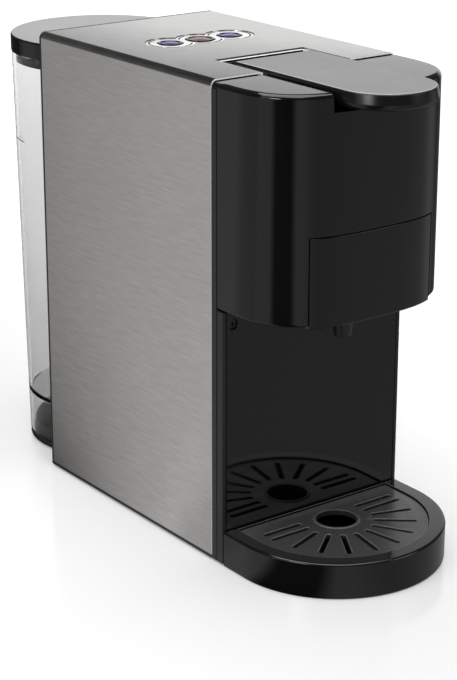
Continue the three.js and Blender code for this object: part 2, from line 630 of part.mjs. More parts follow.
// --- Lever and hinge --------------------------------------------------------------------------------------

function leverBody() {
  const shell = raised(leverOutline(0, LEVER_REAR), LEVER_BOTTOM, LEVER_TOP - 0.4,
    { bevel: 1.5 });
  const seat = raised(leverOutline(LEVER_PLATE_INSET, LEVER_REAR + 5),
    LEVER_TOP - LEVER_PLATE_THICKNESS - GAP, LEVER_TOP + 5);
  const grip = raised(leverOutline(3.4, LEVER_SHOULDER + 2), LEVER_BOTTOM - 1, LEVER_TOP - 5,
    { curveSegments: 8 });
  const relief = block(-LEVER_WIDTH / 2 + 3, LEVER_WIDTH / 2 - 3, LEVER_SHOULDER + 6, 2, LEVER_BOTTOM - 1,
    LEVER_TOP - 5);
  const pocketHalf = CRANK_X + CRANK_THICKNESS / 2 + GAP;
  const pocket = block(-pocketHalf, pocketHalf, 8, HINGE_Y + 10, HINGE_Z - 20,
    LEVER_TOP - LEVER_PLATE_THICKNESS - 1.4);
  const knuckles = [-1, 1].map((side) => {
    const inner = side * (pocketHalf + 0.5);
    const outer = side * (LEVER_WIDTH / 2 - 1.5);
    const low = Math.min(inner, outer);
    const high = Math.max(inner, outer);
    const barrel = rod("x", HINGE_KNUCKLE_RADIUS, low, high, HINGE_Y, HINGE_Z, 24);
    const web = block(low, high, LEVER_REAR - 8, HINGE_Y, HINGE_Z, HINGE_Z + HINGE_KNUCKLE_RADIUS - 0.2);
    return joined(barrel, web);
  });
  const bore = rod("x", HINGE_PIN_RADIUS + PIN_CLEARANCE, -50, 50, HINGE_Y, HINGE_Z, 20);
  return cut(joined(cut(shell, seat, grip, relief), ...knuckles), pocket, bore);
}
place("lever_body", leverBody(), GLOSS_BLACK);

place("lever_plate", raised(leverOutline(LEVER_PLATE_INSET + GAP, LEVER_REAR),
  LEVER_TOP - LEVER_PLATE_THICKNESS,
  LEVER_TOP, { bevel: 0.4, bevelSegments: 1 }), GREY_PLASTIC);

/** A flat crank plate: a round eye on the hinge pin tapering to a smaller eye for the crank pin. */
function crank(side) {
  const shape = new THREE.Shape();
  const bigRadius = 4.4;
  const smallRadius = 3.6;
  const along = Math.atan2(CRANK_PIN_Z - HINGE_Z, CRANK_PIN_Y - HINGE_Y);
  const tilt = Math.acos((bigRadius - smallRadius) / CRANK_RADIUS);
  shape.absarc(HINGE_Y, HINGE_Z, bigRadius, along + tilt, along + 2 * Math.PI - tilt);
  shape.absarc(CRANK_PIN_Y, CRANK_PIN_Z, smallRadius, along - tilt, along + tilt);
  const geometry = new THREE.ExtrudeGeometry(shape, {
    depth: CRANK_THICKNESS, bevelEnabled: false, curveSegments: 7,
  });
  // The outline is drawn in Y and Z, so the extrusion is turned to run along X.
  geometry.applyMatrix4(new THREE.Matrix4().makeBasis(
    new THREE.Vector3(0, 1, 0), new THREE.Vector3(0, 0, 1), new THREE.Vector3(1, 0, 0),
  ));
  geometry.translate(side * CRANK_X - CRANK_THICKNESS / 2, 0, 0);
  return cut(
    solid(geometry),
    rod("x", HINGE_PIN_RADIUS + PIN_CLEARANCE, -50, 50, HINGE_Y, HINGE_Z, 20),
    rod("x", HINGE_PIN_RADIUS - 0.5 + PIN_CLEARANCE, -50, 50, CRANK_PIN_Y, CRANK_PIN_Z, 16),
  );
}
place("crank_left", crank(-1), PLATED);
place("crank_right", crank(1), PLATED);
place("crank_pin", rod("x", HINGE_PIN_RADIUS - 0.5, -CRANK_X - 1.4, CRANK_X + 1.4, CRANK_PIN_Y,
  CRANK_PIN_Z, 16), PLATED);

place("hinge_pin", rod("x", HINGE_PIN_RADIUS, -CHANNEL_HALF - 1, CHANNEL_HALF + 1, HINGE_Y, HINGE_Z, 20),
  PLATED);

for (const [name, side] of [["hinge_bracket_left", -1], ["hinge_bracket_right", 1]]) {
  const inner = side * (LEVER_WIDTH / 2 + 0.6);
  const outer = side * (CHANNEL_HALF + 4);
  const low = Math.min(inner, outer);
  const high = Math.max(inner, outer);
  const ear = block(low, high, HINGE_Y - 7, HINGE_Y + 7, HINGE_Z - 20, HINGE_Z + 5.2);
  const foot = block(Math.min(side * CHANNEL_HALF, side * (CHANNEL_HALF + 16)),
    Math.max(side * CHANNEL_HALF, side * (CHANNEL_HALF + 16)), HINGE_Y - 7, HINGE_Y + 7, HINGE_Z - 20,
    HINGE_Z - 16);
  const bore = rod("x", HINGE_PIN_RADIUS + PIN_CLEARANCE, -CHANNEL_HALF - 2, CHANNEL_HALF + 2, HINGE_Y,
    HINGE_Z, 20);
  place(name, cut(joined(ear, foot), bore), SATIN_BLACK);
}

/** The black well under the gap behind the lever; its floor carries the hinge brackets. */
function leverBay() {
  const floor = block(-CHANNEL_HALF - 18, CHANNEL_HALF + 18, 10, BULKHEAD_Y - GAP, HINGE_Z - 24,
    HINGE_Z - 20 - GAP);
  const wall = block(-CHANNEL_HALF - 3, CHANNEL_HALF + 3, NOTCH_REAR + 0.5, NOTCH_REAR + 2.5, HINGE_Z - 22,
    BODY_HEIGHT - SHEET - GAP);
  const slot = block(-YOKE_HALF_WIDTH - 1.5, YOKE_HALF_WIDTH + 1.5, 9, HINGE_Y, HINGE_Z - 30, HINGE_Z - 10);
  return cut(joined(floor, wall), slot);
}
place("lever_bay", leverBay(), SATIN_BLACK);

// --- Buttons and control board ----------------------------------------------------------------------------

const BEZEL_TOP = BODY_HEIGHT - RECESS_DEPTH;
const BUTTON_BOTTOM = BOARD_Z + BOARD_THICKNESS + 3.6 + BUTTON_TRAVEL + GAP;

function buttonHoles(z0, z1) {
  return BUTTON_RADII.map((radius, i) => (
    rod("z", radius + BUTTON_CLEARANCE, z0, z1, (i - 1) * BUTTON_SPACING, BUTTON_Y, 20)
  ));
}

place("button_bezel", cut(
  joined(
    buttonLobes(GAP, BEZEL_TOP - BEZEL_THICKNESS, BEZEL_TOP),
    block(-42, 42, BUTTON_Y - 20, BUTTON_Y + 20, BEZEL_TOP - BEZEL_THICKNESS - 1.4,
    BEZEL_TOP - BEZEL_THICKNESS + 0.6),
  ),
  ...buttonHoles(BEZEL_TOP - 10, BEZEL_TOP + 5),
), BRIGHT);

["button_left", "button_middle", "button_right"].forEach((name, i) => {
  const radius = BUTTON_RADII[i];
  const top = BODY_HEIGHT - 0.2;
  const shoulder = BEZEL_TOP - BEZEL_THICKNESS - 1.4 - GAP;
  place(name, turned([
    [0, BUTTON_BOTTOM], [2.2, BUTTON_BOTTOM], [2.2, shoulder - 1.6], [radius + 1.2, shoulder - 1.6],
    [radius + 1.2, shoulder], [radius, shoulder], [radius, top - 0.6], [radius - 0.6, top], [0, top],
  ], (i - 1) * BUTTON_SPACING, BUTTON_Y, 20), i === 1 ? RED_BUTTON : BLUE_BUTTON);
});

function controlBoard() {
  const top = BOARD_Z + BOARD_THICKNESS;
  const board = block(-38, 38, BUTTON_Y - 16, BUTTON_Y + 18, BOARD_Z, top);
  const switches = [-1, 0, 1].map((side) => {
    const x = side * BUTTON_SPACING;
    return block(x - 3, x + 3, BUTTON_Y - 3, BUTTON_Y + 3, top - 0.2, top + 3.6);
  });
  const connector = block(-8, 8, BUTTON_Y + 9, BUTTON_Y + 15, top - 0.2, top + 5);
  return joined(board, connector, ...switches);
}
place("control_board", controlBoard(), BOARD_GREEN);

// --- Inside the body --------------------------------------------------------------------------------------

function bulkhead() {
  const plate = bodySlab(SHEET + GAP + 1, 20.4, BULKHEAD_Y, BULKHEAD_Y + 3);
  const hoseWindow = block(-30, 30, 0, 100, HEAD_TOP - 69, HEAD_TOP - 24);
  const shelf = block(-50, 50, BULKHEAD_Y + 2, BULKHEAD_Y + 70, 96, 99);
  const boardShelf = block(-45, 45, BULKHEAD_Y + 2, BUTTON_Y + 22, BOARD_Z - 5, BOARD_Z - 2);
  const shelfWindow = block(-30, 30, BULKHEAD_Y + 15, BULKHEAD_Y + 60, 90, 105);
  return cut(joined(plate, shelf, boardShelf), hoseWindow, shelfWindow);
}
place("bulkhead", bulkhead(), GREY_PLASTIC);

const PUMP_Y = BODY_DEPTH - 58;
const PUMP_Z = 44;
const METER_X = -42;
const METER_Y = BODY_DEPTH - 25;
const METER_Z = 33;

place("pump_coil", cut(
  block(-19, 19, PUMP_Y - 22, PUMP_Y + 22, PUMP_Z - 18, PUMP_Z + 18),
  rod("y", 11 + GAP, PUMP_Y - 40, PUMP_Y + 40, 0, PUMP_Z, 28),
), PLATED);
place("pump_body", joined(
  rod("y", 11, PUMP_Y - 34, PUMP_Y + 32, 0, PUMP_Z, 28),
  rod("y", 4, PUMP_Y - 40, PUMP_Y - 33, 0, PUMP_Z, 16),
  rod("y", 3.4, PUMP_Y + 31, PUMP_Y + 42, 0, PUMP_Z, 16),
), WHITE_PLASTIC);
place("pump_bracket", joined(
  block(-24, 24, PUMP_Y - 24, PUMP_Y + 24, FLOOR_TOP + GAP, FLOOR_TOP + 3.3),
  block(-24, -19 - GAP, PUMP_Y - 20, PUMP_Y + 20, FLOOR_TOP + 2, PUMP_Z + 10),
  block(19 + GAP, 24, PUMP_Y - 20, PUMP_Y + 20, FLOOR_TOP + 2, PUMP_Z + 10),
), SATIN_BLACK);

place("flow_meter", joined(
  turned([[0, 24], [13, 24], [14, 25], [14, 40], [13, 41], [0, 41]], METER_X, METER_Y, 28),
  rod("x", 3, METER_X - 16, METER_X + 15, METER_Y, METER_Z, 16),
), WHITE_PLASTIC);

place("thermoblock", joined(
  raised(roundedRectangle(-36, 36, 72, 114, 12), 99.5, 160,
  { bevel: 3, bevelSegments: 1, curveSegments: 3 }),
  rod("z", 4, 158, 170, -14, 96, 16),
  rod("x", 3.5, 34, 48, 84, 112, 16),
  rod("z", 2.5, 159, 167, 18, 84, 12),
  rod("z", 2.5, 159, 167, 18, 102, 12),
), CAST_ALUMINIUM);

const POWER_X = HALF - 8.25;

place("power_board", joined(
  block(POWER_X, POWER_X + 1.6, 72, 152, 60, 230),
  block(POWER_X - 9.5, POWER_X + 0.2, 80, 105, 205, 228),
  block(POWER_X - 13.5, POWER_X + 0.2, 128, 148, 70, 95),
), BOARD_GREEN);

place("tube_tank_to_pump", tube([
  [OUTLET_X, BODY_DEPTH - 5, OUTLET_Z + 0.7], [OUTLET_X, BODY_DEPTH - 18, OUTLET_Z + 1],
  [-6, METER_Y - 3, 20], [-20, METER_Y, METER_Z], [METER_X + 15.5, METER_Y, METER_Z],
], 2.2, 14), SILICONE);
place("tube_pump_to_heater", tube([
  [0, PUMP_Y - 40.5, PUMP_Z], [0, PUMP_Y - 44, PUMP_Z], [8, PUMP_Y - 47, PUMP_Z + 3], [30, PUMP_Y - 47, 56],
  [50, PUMP_Y - 43, 76], [52.4, 84, 100], [51.6, 84, 111], [48.9, 84, 112],
], 2.2, 20), SILICONE);
place("tube_heater_to_brew", tube([
  [-14, 96, 170.6], [-14, 94, 190], [-12, 80, HEAD_TOP - 58], [-4, 60, HEAD_TOP - 46],
  [14, 34, HEAD_TOP - 36],
  [14, 8, HEAD_TOP - 34], [13, -6, HEAD_TOP - 27], [12, -22, HEAD_TOP - 19.5], [12, BREW_Y, HEAD_TOP - 21],
], 2, 20), SILICONE);

// --- Drip tray and grate ----------------------------------------------------------------------------------

function dripTray() {
  const back = FRAME_FRONT - GAP;
  const body = raised(trayOutline(0, back), 0, TRAY_HEIGHT, { bevel: 1.6 });
  const seatLow = GRATE_TOP - GRATE_THICKNESS - GAP;
  const seat = raised(trayOutline(-0.5, back - 1.5, GRATE_RADIUS), seatLow, TRAY_HEIGHT + 1);
  const basin = raised(trayOutline(GRATE_LEDGE, back - 1.5 - GRATE_LEDGE, GRATE_RADIUS), TRAY_FLOOR,
    TRAY_HEIGHT);
  const outerGroove = raised(trayOutline(PLASTIC_WALL, back - PLASTIC_WALL), -1, seatLow - PLASTIC_WALL)
    .subtract(raised(trayOutline(GRATE_LEDGE - PLASTIC_WALL, back + 5, GRATE_RADIUS), -2, TRAY_HEIGHT));
  return cut(body, seat, basin, outerGroove);
}
place("drip_tray", dripTray(), GLOSS_BLACK);

/** A slot with round ends from one distance to another along a direction from the grate's hole. */
function grateSlot(x, y, angle, inner, outer) {
  const half = SLOT_WIDTH / 2;
  const shape = new THREE.Shape();
  shape.absarc(inner + half, 0, half, Math.PI / 2, 1.5 * Math.PI);
  shape.absarc(outer - half, 0, half, -Math.PI / 2, Math.PI / 2);
  const geometry = new THREE.ExtrudeGeometry(shape, { depth: 12, bevelEnabled: false, curveSegments: 3 });
  geometry.rotateZ(angle);
  geometry.translate(x, y, GRATE_TOP - 6);
  return solid(geometry);
}

function dripGrate() {
  const back = FRAME_FRONT - GAP - 1.5 - 0.5;
  const low = GRATE_TOP - GRATE_THICKNESS;
  const plate = raised(trayOutline(0, back, GRATE_RADIUS), low, GRATE_TOP, { bevel: 0.6, bevelSegments: 1 });
  const hole = rod("z", GRATE_HOLE_RADIUS, 0, 40, 0, GRATE_HOLE_Y, 28);
  const slots = [];
  for (let i = 0; i < FAN_SLOTS; i += 1) {
    const degrees = FAN_FIRST_ANGLE + ((FAN_LAST_ANGLE - FAN_FIRST_ANGLE) * i) / (FAN_SLOTS - 1);
    slots.push(grateSlot(0, GRATE_HOLE_Y, THREE.MathUtils.degToRad(degrees), SLOT_INNER, SLOT_OUTER));
  }
  for (const angle of [0, Math.PI]) {
    slots.push(grateSlot(0, GRATE_HOLE_Y, angle, SLOT_INNER - 1, SLOT_OUTER + 1));
    slots.push(grateSlot(0, GRATE_HOLE_Y + SIDE_SLOT_PITCH, angle, SLOT_INNER - 1, SLOT_OUTER + 1));
  }
  return cut(plate, hole, ...slots);
}
place("drip_grate", dripGrate(), SATIN_BLACK);

// --- Water tank -------------------------------------------------------------------------------------------

/** The half space behind a plane across the machine. */
function behind(y) {
  return block(-HALF - 20, HALF + 20, y, TANK_REAR + 50, -10, BODY_HEIGHT + 50);
}

/** The tank's tapered form, offset inwards, between two heights. */
function tankForm(inset, z0, z1) {
  const radiusAt = (z) => (
    TANK_BASE_RADIUS + ((TANK_RADIUS - TANK_BASE_RADIUS) * (z - TANK_BOTTOM)) / (TANK_TOP - TANK_BOTTOM) - inset
  );
  return turned([[0, z0], [radiusAt(z0), z0], [radiusAt(z1), z1], [0, z1]], 0, TANK_CENTRE, 44)
    .intersect(behind(TANK_FLAT + inset));
}

function tankBody() {
  const floorTop = TANK_FLOOR_Z + TANK_FLOOR_THICKNESS;
  const outer = tankForm(0, TANK_BOTTOM, TANK_TOP);
  const water = tankForm(TANK_WALL, floorTop, TANK_TOP + 1);
  const skirt = tankForm(TANK_WALL, TANK_BOTTOM - 1, TANK_FLOOR_Z);
  const valveHole = rod("z", VALVE_HOLE_RADIUS, 20, 50, 0, TANK_CENTRE, 24);
  return cut(outer, water, skirt, valveHole);
}
place("tank_body", tankBody(), CLEAR);

place("tank_lid", turned([
  [0, TANK_TOP + GAP], [LID_RADIUS, TANK_TOP + GAP], [LID_RADIUS, TANK_TOP + LID_THICKNESS - 1.2],
  [LID_RADIUS - 1.2, TANK_TOP + LID_THICKNESS], [0, TANK_TOP + LID_THICKNESS],
], 0, TANK_CENTRE, 44).intersect(behind(TANK_FLAT)), GLOSS_BLACK);

function lidPlug() {
  const top = TANK_TOP;
  const low = top - LID_PLUG_DEPTH;
  return tankForm(TANK_WALL + 0.5, low, top).subtract(tankForm(TANK_WALL + 2.5, low - 1, top + 1));
}
place("tank_lid_seal", lidPlug(), RUBBER);

const VALVE_DISC_Z = TANK_FLOOR_Z + TANK_FLOOR_THICKNESS + GAP;

place("tank_valve", joined(
  rod("z", VALVE_DISC_RADIUS, VALVE_DISC_Z, VALVE_DISC_Z + 2, 0, TANK_CENTRE, 24),
  rod("z", VALVE_STEM_RADIUS, VALVE_STEM_BOTTOM, VALVE_STEM_BOTTOM + VALVE_STEM_LENGTH, 0, TANK_CENTRE, 16),
), WHITE_PLASTIC);

/** A cage over the valve that the spring pushes against. */
function valveCage() {
  const low = TANK_FLOOR_Z + TANK_FLOOR_THICKNESS + GAP;
  const high = low + 18;
  const ring = cut(rod("z", 11, low, high, 0, TANK_CENTRE), rod("z", 9, low - 1, high - 2, 0, TANK_CENTRE));
  const windows = [
    block(-4, 4, TANK_CENTRE - 20, TANK_CENTRE + 20, low + 2, high - 4),
    block(-20, 20, TANK_CENTRE - 4, TANK_CENTRE + 4, low + 2, high - 4),
  ];
  return cut(ring, ...windows, rod("z", VALVE_STEM_RADIUS + 0.5, 0, 100, 0, TANK_CENTRE, 20));
}
place("tank_valve_cage", valveCage(), WHITE_PLASTIC);

class Helix extends THREE.Curve {
  constructor(radius, low, high, turns) {
    super();
    Object.assign(this, { radius, low, high, turns });
  }

  getPoint(t) {
    const angle = 2 * Math.PI * this.turns * t;
    return new THREE.Vector3(
      this.radius * Math.cos(angle),
      TANK_CENTRE + this.radius * Math.sin(angle),
      this.low + (this.high - this.low) * t,
    );
  }
}

const springLow = VALVE_DISC_Z + 2 + 0.8;
const springHigh = TANK_FLOOR_Z + TANK_FLOOR_THICKNESS + 18 + GAP - 2 - 0.8;
const springWire = new THREE.Shape().absarc(0, 0, 0.45, 0, 2 * Math.PI);
place("tank_valve_spring", solid(new THREE.ExtrudeGeometry(springWire, {
  extrudePath: new Helix(4.4, springLow, springHigh, 5), steps: 44, curveSegments: 2,
})), PLATED);

export default object;
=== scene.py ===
"""Dresses the frame of a pod coffee machine: casings, a clear tank, procedural finishes and a plain studio.

Every length is in metres and every place comes from the frame's own boxes. The machine faces -Y and stands on
z = 0.
"""

import math

import bmesh
import bpy
from mathutils import Matrix, Vector


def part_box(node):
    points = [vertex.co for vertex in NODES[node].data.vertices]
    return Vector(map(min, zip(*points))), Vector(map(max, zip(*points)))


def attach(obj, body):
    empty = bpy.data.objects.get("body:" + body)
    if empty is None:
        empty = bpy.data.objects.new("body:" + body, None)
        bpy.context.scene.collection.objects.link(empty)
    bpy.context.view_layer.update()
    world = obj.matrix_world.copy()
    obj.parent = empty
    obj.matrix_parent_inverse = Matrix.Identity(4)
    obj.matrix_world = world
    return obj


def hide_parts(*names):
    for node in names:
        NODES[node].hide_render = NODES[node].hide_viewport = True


bl_info = {
    "name": "Pod coffee machine",
    "version": (1, 0, 0),
    "blender": (4, 5, 0),
    "location": "View3D > Sidebar > Coffee machine",
    "description": "Builds the casings, tank, buttons and finishes of a slim pod coffee machine",
    "category": "Object",
}

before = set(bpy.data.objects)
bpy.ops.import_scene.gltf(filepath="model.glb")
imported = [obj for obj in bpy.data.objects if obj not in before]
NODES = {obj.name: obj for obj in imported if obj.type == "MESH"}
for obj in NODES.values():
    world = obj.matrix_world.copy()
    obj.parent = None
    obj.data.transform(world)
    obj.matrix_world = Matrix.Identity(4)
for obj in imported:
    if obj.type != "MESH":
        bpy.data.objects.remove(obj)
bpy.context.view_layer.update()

MM = 0.001
SEAM = 0.3 * MM                 # between pieces that touch
WALL = 2.4 * MM                 # moulded walls
HEAD_BROW = 3 * MM              # the head's top where it runs back over the frame
DRAWER_WALL = 3 * MM
LEVER_NOSE = 28 * MM            # length of the lever's round nose
LEVER_RIM = 3.6 * MM            # wall round the lever's finger grip
LEVER_TOP = 5 * MM              # the lever's thickness over its hollows
CAPSULE_RADIUS = 20 * MM
NOZZLE_BORE = 2.5 * MM
CAP_CLEARANCE = 0.4 * MM        # round each button's cap
GRATE_LEDGE = 3 * MM            # width of the ledge that carries the grate
GRATE_HOLE = 11.7 * MM
SLOT_START = 21 * MM            # from the middle of the hole to a slot's ends
SLOT_END = 45.5 * MM
TANK_WALL = 2 * MM
TANK_FLOOR = 2.5 * MM
TANK_TAPER = 4.1 * MM           # how much narrower the tank is at its foot
VALVE_HOLE = 5 * MM
LEVEL_HEIGHT = 200 * MM
CORD_BORE = 2.4 * MM
BUTTONS = ("button_left", "button_middle", "button_right")


# ----------------------------------------------------------------------------------------------------
# Modelling helpers
# ----------------------------------------------------------------------------------------------------

def ends(node):
    """The low and high corners of a frame node's box."""
    return Vector(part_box(node)[0]), Vector(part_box(node)[1])


def low(node):
    return ends(node)[0]


def high(node):
    return ends(node)[1]


def middle(node):
    return (low(node) + high(node)) / 2


def only(obj):
    """Selects one object alone and makes it active."""
    if bpy.context.mode != "OBJECT":
        bpy.ops.object.mode_set(mode="OBJECT")
    bpy.ops.object.select_all(action="DESELECT")
    obj.select_set(True)
    bpy.context.view_layer.objects.active = obj


def fresh(name):
    """Names the primitive just added and settles its place into its mesh."""
    obj = bpy.context.active_object
    obj.name = name
    obj.data.name = name
    only(obj)
    bpy.ops.object.transform_apply(location=True, rotation=True, scale=True)
    return obj


def block(name, x, y, z):
    """A box from its (low, high) pair along each axis."""
    bpy.ops.object.select_all(action="DESELECT")
    centre = [(pair[0] + pair[1]) / 2 for pair in (x, y, z)]
    size = [pair[1] - pair[0] for pair in (x, y, z)]
    bpy.ops.mesh.primitive_cube_add(size=1, location=centre, scale=size)
    return fresh(name)


def cylinder(name, radius, start, end, vertices):
    """A cylinder between two points."""
    bpy.ops.object.select_all(action="DESELECT")
    start, end = Vector(start), Vector(end)
    turn = (end - start).to_track_quat("Z", "Y").to_euler()
    bpy.ops.mesh.primitive_cylinder_add(
        vertices=vertices, radius=radius, depth=(end - start).length, location=(start + end) / 2,
        rotation=turn)
    return fresh(name)


def modify(obj, kind, **settings):
    """Adds a modifier and applies it."""
    only(obj)
    modifier = obj.modifiers.new(kind.title(), kind)
    for key, value in settings.items():
        setattr(modifier, key, value)
    bpy.ops.object.modifier_apply(modifier=modifier.name)


def carve(obj, *cutters, operation="DIFFERENCE"):
    """Cuts obj by each cutter, or keeps or joins what they share, and removes the cutters."""
    for cutter in cutters:
        modify(obj, "BOOLEAN", object=cutter, operation=operation, solver="EXACT")
        bpy.data.objects.remove(cutter, do_unlink=True)
    return obj


def soften(obj, width, segments, angle=50):
    """Breaks every sharp edge."""
    modify(obj, "BEVEL", width=width, segments=segments, limit_method="ANGLE",
           angle_limit=math.radians(angle), use_clamp_overlap=False, harden_normals=False,
           miter_outer="MITER_ARC")


def select_where(obj, kind, test):
    """Enters edit mode with the faces or edges for which test(element) holds selected."""
    only(obj)
    bpy.ops.object.mode_set(mode="EDIT")
    bpy.ops.mesh.select_mode(type=kind)
    bpy.ops.mesh.select_all(action="DESELECT")
    mesh = bmesh.from_edit_mesh(obj.data)
    mesh.normal_update()
    elements = mesh.faces if kind == "FACE" else mesh.edges
    for element in elements:
        if test(element):
            element.select_set(True)
    bmesh.update_edit_mesh(obj.data)


def done_editing():
    bpy.ops.object.mode_set(mode="OBJECT")


def round_edges(obj, test, width, segments):
    """Rounds the edges for which test(edge) holds."""
    select_where(obj, "EDGE", test)
    bpy.ops.mesh.bevel(offset=width, offset_type="OFFSET", segments=segments, profile=0.5, affect="EDGES",
                       clamp_overlap=False)
    done_editing()


def rim_at(z):
    """A test for sharp edges that lie at one height."""
    def test(edge):
        level = all(abs(vertex.co.z - z) < 0.02 * MM for vertex in edge.verts)
        return level and edge.calc_face_angle(0) > math.radians(40)
    return test


def post(name, radius, centre, bottom, top, vertices=64):
    """An upright cylinder about a centre between two heights."""
    return cylinder(name, radius, (centre.x, centre.y, bottom), (centre.x, centre.y, top), vertices)


def turned(name, profile, centre, vertices):
    """A solid turned about a vertical line, ring by ring from a [radius, z] profile."""
    bpy.ops.object.select_all(action="DESELECT")
    radius, z = profile[0]
    bpy.ops.mesh.primitive_circle_add(vertices=vertices, radius=radius, fill_type="NGON",
                                      location=(centre[0], centre[1], z))
    obj = fresh(name)
    bpy.ops.object.mode_set(mode="EDIT")
    bpy.ops.mesh.select_all(action="SELECT")
    for next_radius, next_z in profile[1:]:
        bpy.ops.mesh.extrude_region_move(TRANSFORM_OT_translate={"value": (0, 0, next_z - z)})
        scale = next_radius / radius
        bpy.ops.transform.resize(value=(scale, scale, 1), center_override=(centre[0], centre[1], next_z))
        radius, z = next_radius, next_z
    bpy.ops.mesh.select_all(action="SELECT")
    bpy.ops.mesh.normals_make_consistent(inside=False)
    done_editing()
    return obj


def round_front(name, half, shoulder, front, back, bottom, top, power=2.0):
    """A raised plan, straight behind the shoulder line and rounded in front. A power above 2 squares it."""
    bpy.ops.object.select_all(action="DESELECT")
    bpy.ops.mesh.primitive_circle_add(vertices=192, radius=1, fill_type="NGON")
    obj = fresh(name)
    for vertex in obj.data.vertices:
        across = math.copysign(abs(vertex.co.x) ** (2 / power), vertex.co.x)
        along = math.copysign(abs(vertex.co.y) ** (2 / power), vertex.co.y)
        vertex.co = (half * across, shoulder + (shoulder - front) * along, bottom)
    only(obj)
    bpy.ops.object.mode_set(mode="EDIT")
    bpy.ops.mesh.select_all(action="SELECT")
    bpy.ops.mesh.bisect(plane_co=(0, shoulder, bottom), plane_no=(0, 1, 0), clear_outer=True, threshold=1e-7)
    done_editing()
    select_where(obj, "EDGE", lambda edge: all(abs(v.co.y - shoulder) < 1e-6 for v in edge.verts))
    bpy.ops.mesh.extrude_region_move(TRANSFORM_OT_translate={"value": (0, back - shoulder, 0)})
    bpy.ops.mesh.select_all(action="SELECT")
    bpy.ops.mesh.dissolve_limited(angle_limit=math.radians(0.01))
    bpy.ops.mesh.select_all(action="SELECT")
    bpy.ops.mesh.extrude_region_move(TRANSFORM_OT_translate={"value": (0, 0, top - bottom)})
    bpy.ops.mesh.select_all(action="SELECT")
    bpy.ops.mesh.normals_make_consistent(inside=False)
    done_editing()
    return obj


def merged_copy(node, name):
    """A joined-up copy of a frame node's mesh with clean flat faces."""
    obj = bpy.data.objects.new(name, NODES[node].data.copy())
    bpy.context.scene.collection.objects.link(obj)
    obj.data.materials.clear()
    only(obj)
    bpy.ops.object.mode_set(mode="EDIT")
    bpy.ops.mesh.select_all(action="SELECT")
    bpy.ops.mesh.remove_doubles(threshold=2e-6)
    bpy.ops.mesh.dissolve_limited(angle_limit=math.radians(0.5))
    done_editing()
    return obj


def join(name, *pieces):
    """One object of several separate shells."""
    bpy.ops.object.select_all(action="DESELECT")
    for piece in pieces:
        piece.select_set(True)
    bpy.context.view_layer.objects.active = pieces[0]
    if len(pieces) > 1:
        bpy.ops.object.join()
    return fresh(name)


def finish(obj, body, slot, material_name, *replaced):
    """Shades a finished piece, dresses it and fixes it to its body."""
    only(obj)
    bpy.ops.object.shade_smooth_by_angle(angle=math.radians(32))
    modify(obj, "WEIGHTED_NORMAL", mode="FACE_AREA", weight=60, keep_sharp=True)
    obj.data.materials.clear()
    obj.data.materials.append(MATERIALS[material_name])
    if replaced:
        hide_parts(*replaced)
    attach(obj, body)
    return obj


def paint(obj, material_name, test):
    """Gives the faces for which test(face) holds another finish."""
    obj.data.materials.append(MATERIALS[material_name])
    for face in obj.data.polygons:
        if test(face):
            face.material_index = len(obj.data.materials) - 1


def dress(material_name, *nodes):
    """Gives frame nodes a finer material."""
    for name in nodes:
        mesh = NODES[name].data
        mesh.materials.clear()
        mesh.materials.append(MATERIALS[material_name])


# ----------------------------------------------------------------------------------------------------
# Shader groups
# ----------------------------------------------------------------------------------------------------

GROUPS = {}


def node(tree, kind, inputs=(), **settings):
    """A node with its settings, each input either a value or a socket to link from."""
    made = tree.nodes.new(kind)
    for key, value in settings.items():
        setattr(made, key, value)
    for key, value in dict(inputs).items():
        if isinstance(value, bpy.types.NodeSocket):
            tree.links.new(value, made.inputs[key])
        else:
            made.inputs[key].default_value = value
    return made


def maths(tree, operation, *values, **settings):
    return node(tree, "ShaderNodeMath", enumerate(values), operation=operation, **settings).outputs[0]


def vector_maths(tree, operation, *values):
    """A number for a length or a dot product, else a vector."""
    made = node(tree, "ShaderNodeVectorMath", enumerate(values), operation=operation)
    return made.outputs["Value" if operation in ("LENGTH", "DOT_PRODUCT") else "Vector"]


def remap(tree, value, from_low, from_high, to_low, to_high):
    """A socket's value moved from one range to another."""
    return node(tree, "ShaderNodeMapRange", {
        "Value": value, "From Min": from_low, "From Max": from_high, "To Min": to_low, "To Max": to_high,
    }).outputs["Result"]


def noise(tree, place, scale, detail, **more):
    values = {"Vector": place, "Scale": scale, "Detail": detail, **more}
    return node(tree, "ShaderNodeTexNoise", values).outputs["Fac"]


def object_place(tree):
    return node(tree, "ShaderNodeTexCoord").outputs["Object"]


def height_of(tree, vector):
    return node(tree, "ShaderNodeSeparateXYZ", {0: vector}).outputs["Z"]


def grey(tree, value):
    """A number as a colour."""
    return node(tree, "ShaderNodeCombineColor",
                {"Red": value, "Green": value, "Blue": value}).outputs["Color"]


def blend_colours(tree, factor, first, second):
    return node(tree, "ShaderNodeMix", {"Factor": factor, 6: first, 7: second}, data_type="RGBA").outputs[2]


def shader_group(name, **inputs):
    """An empty group that gives a colour, a roughness and a height. A tuple makes a colour input."""
    tree = bpy.data.node_groups.new(name, "ShaderNodeTree")
    for label, default in inputs.items():
        kind = "NodeSocketColor" if isinstance(default, tuple) else "NodeSocketFloat"
        tree.interface.new_socket(label, in_out="INPUT", socket_type=kind).default_value = default
    for label, kind in (("Color", "Color"), ("Roughness", "Float"), ("Height", "Float")):
        tree.interface.new_socket(label, in_out="OUTPUT", socket_type="NodeSocket" + kind)
    GROUPS[name] = tree
    return tree, tree.nodes.new("NodeGroupInput").outputs, tree.nodes.new("NodeGroupOutput").inputs


def give(tree, results, colour, roughness, height):
    tree.links.new(colour, results["Color"])
    tree.links.new(roughness, results["Roughness"])
    tree.links.new(height, results["Height"])


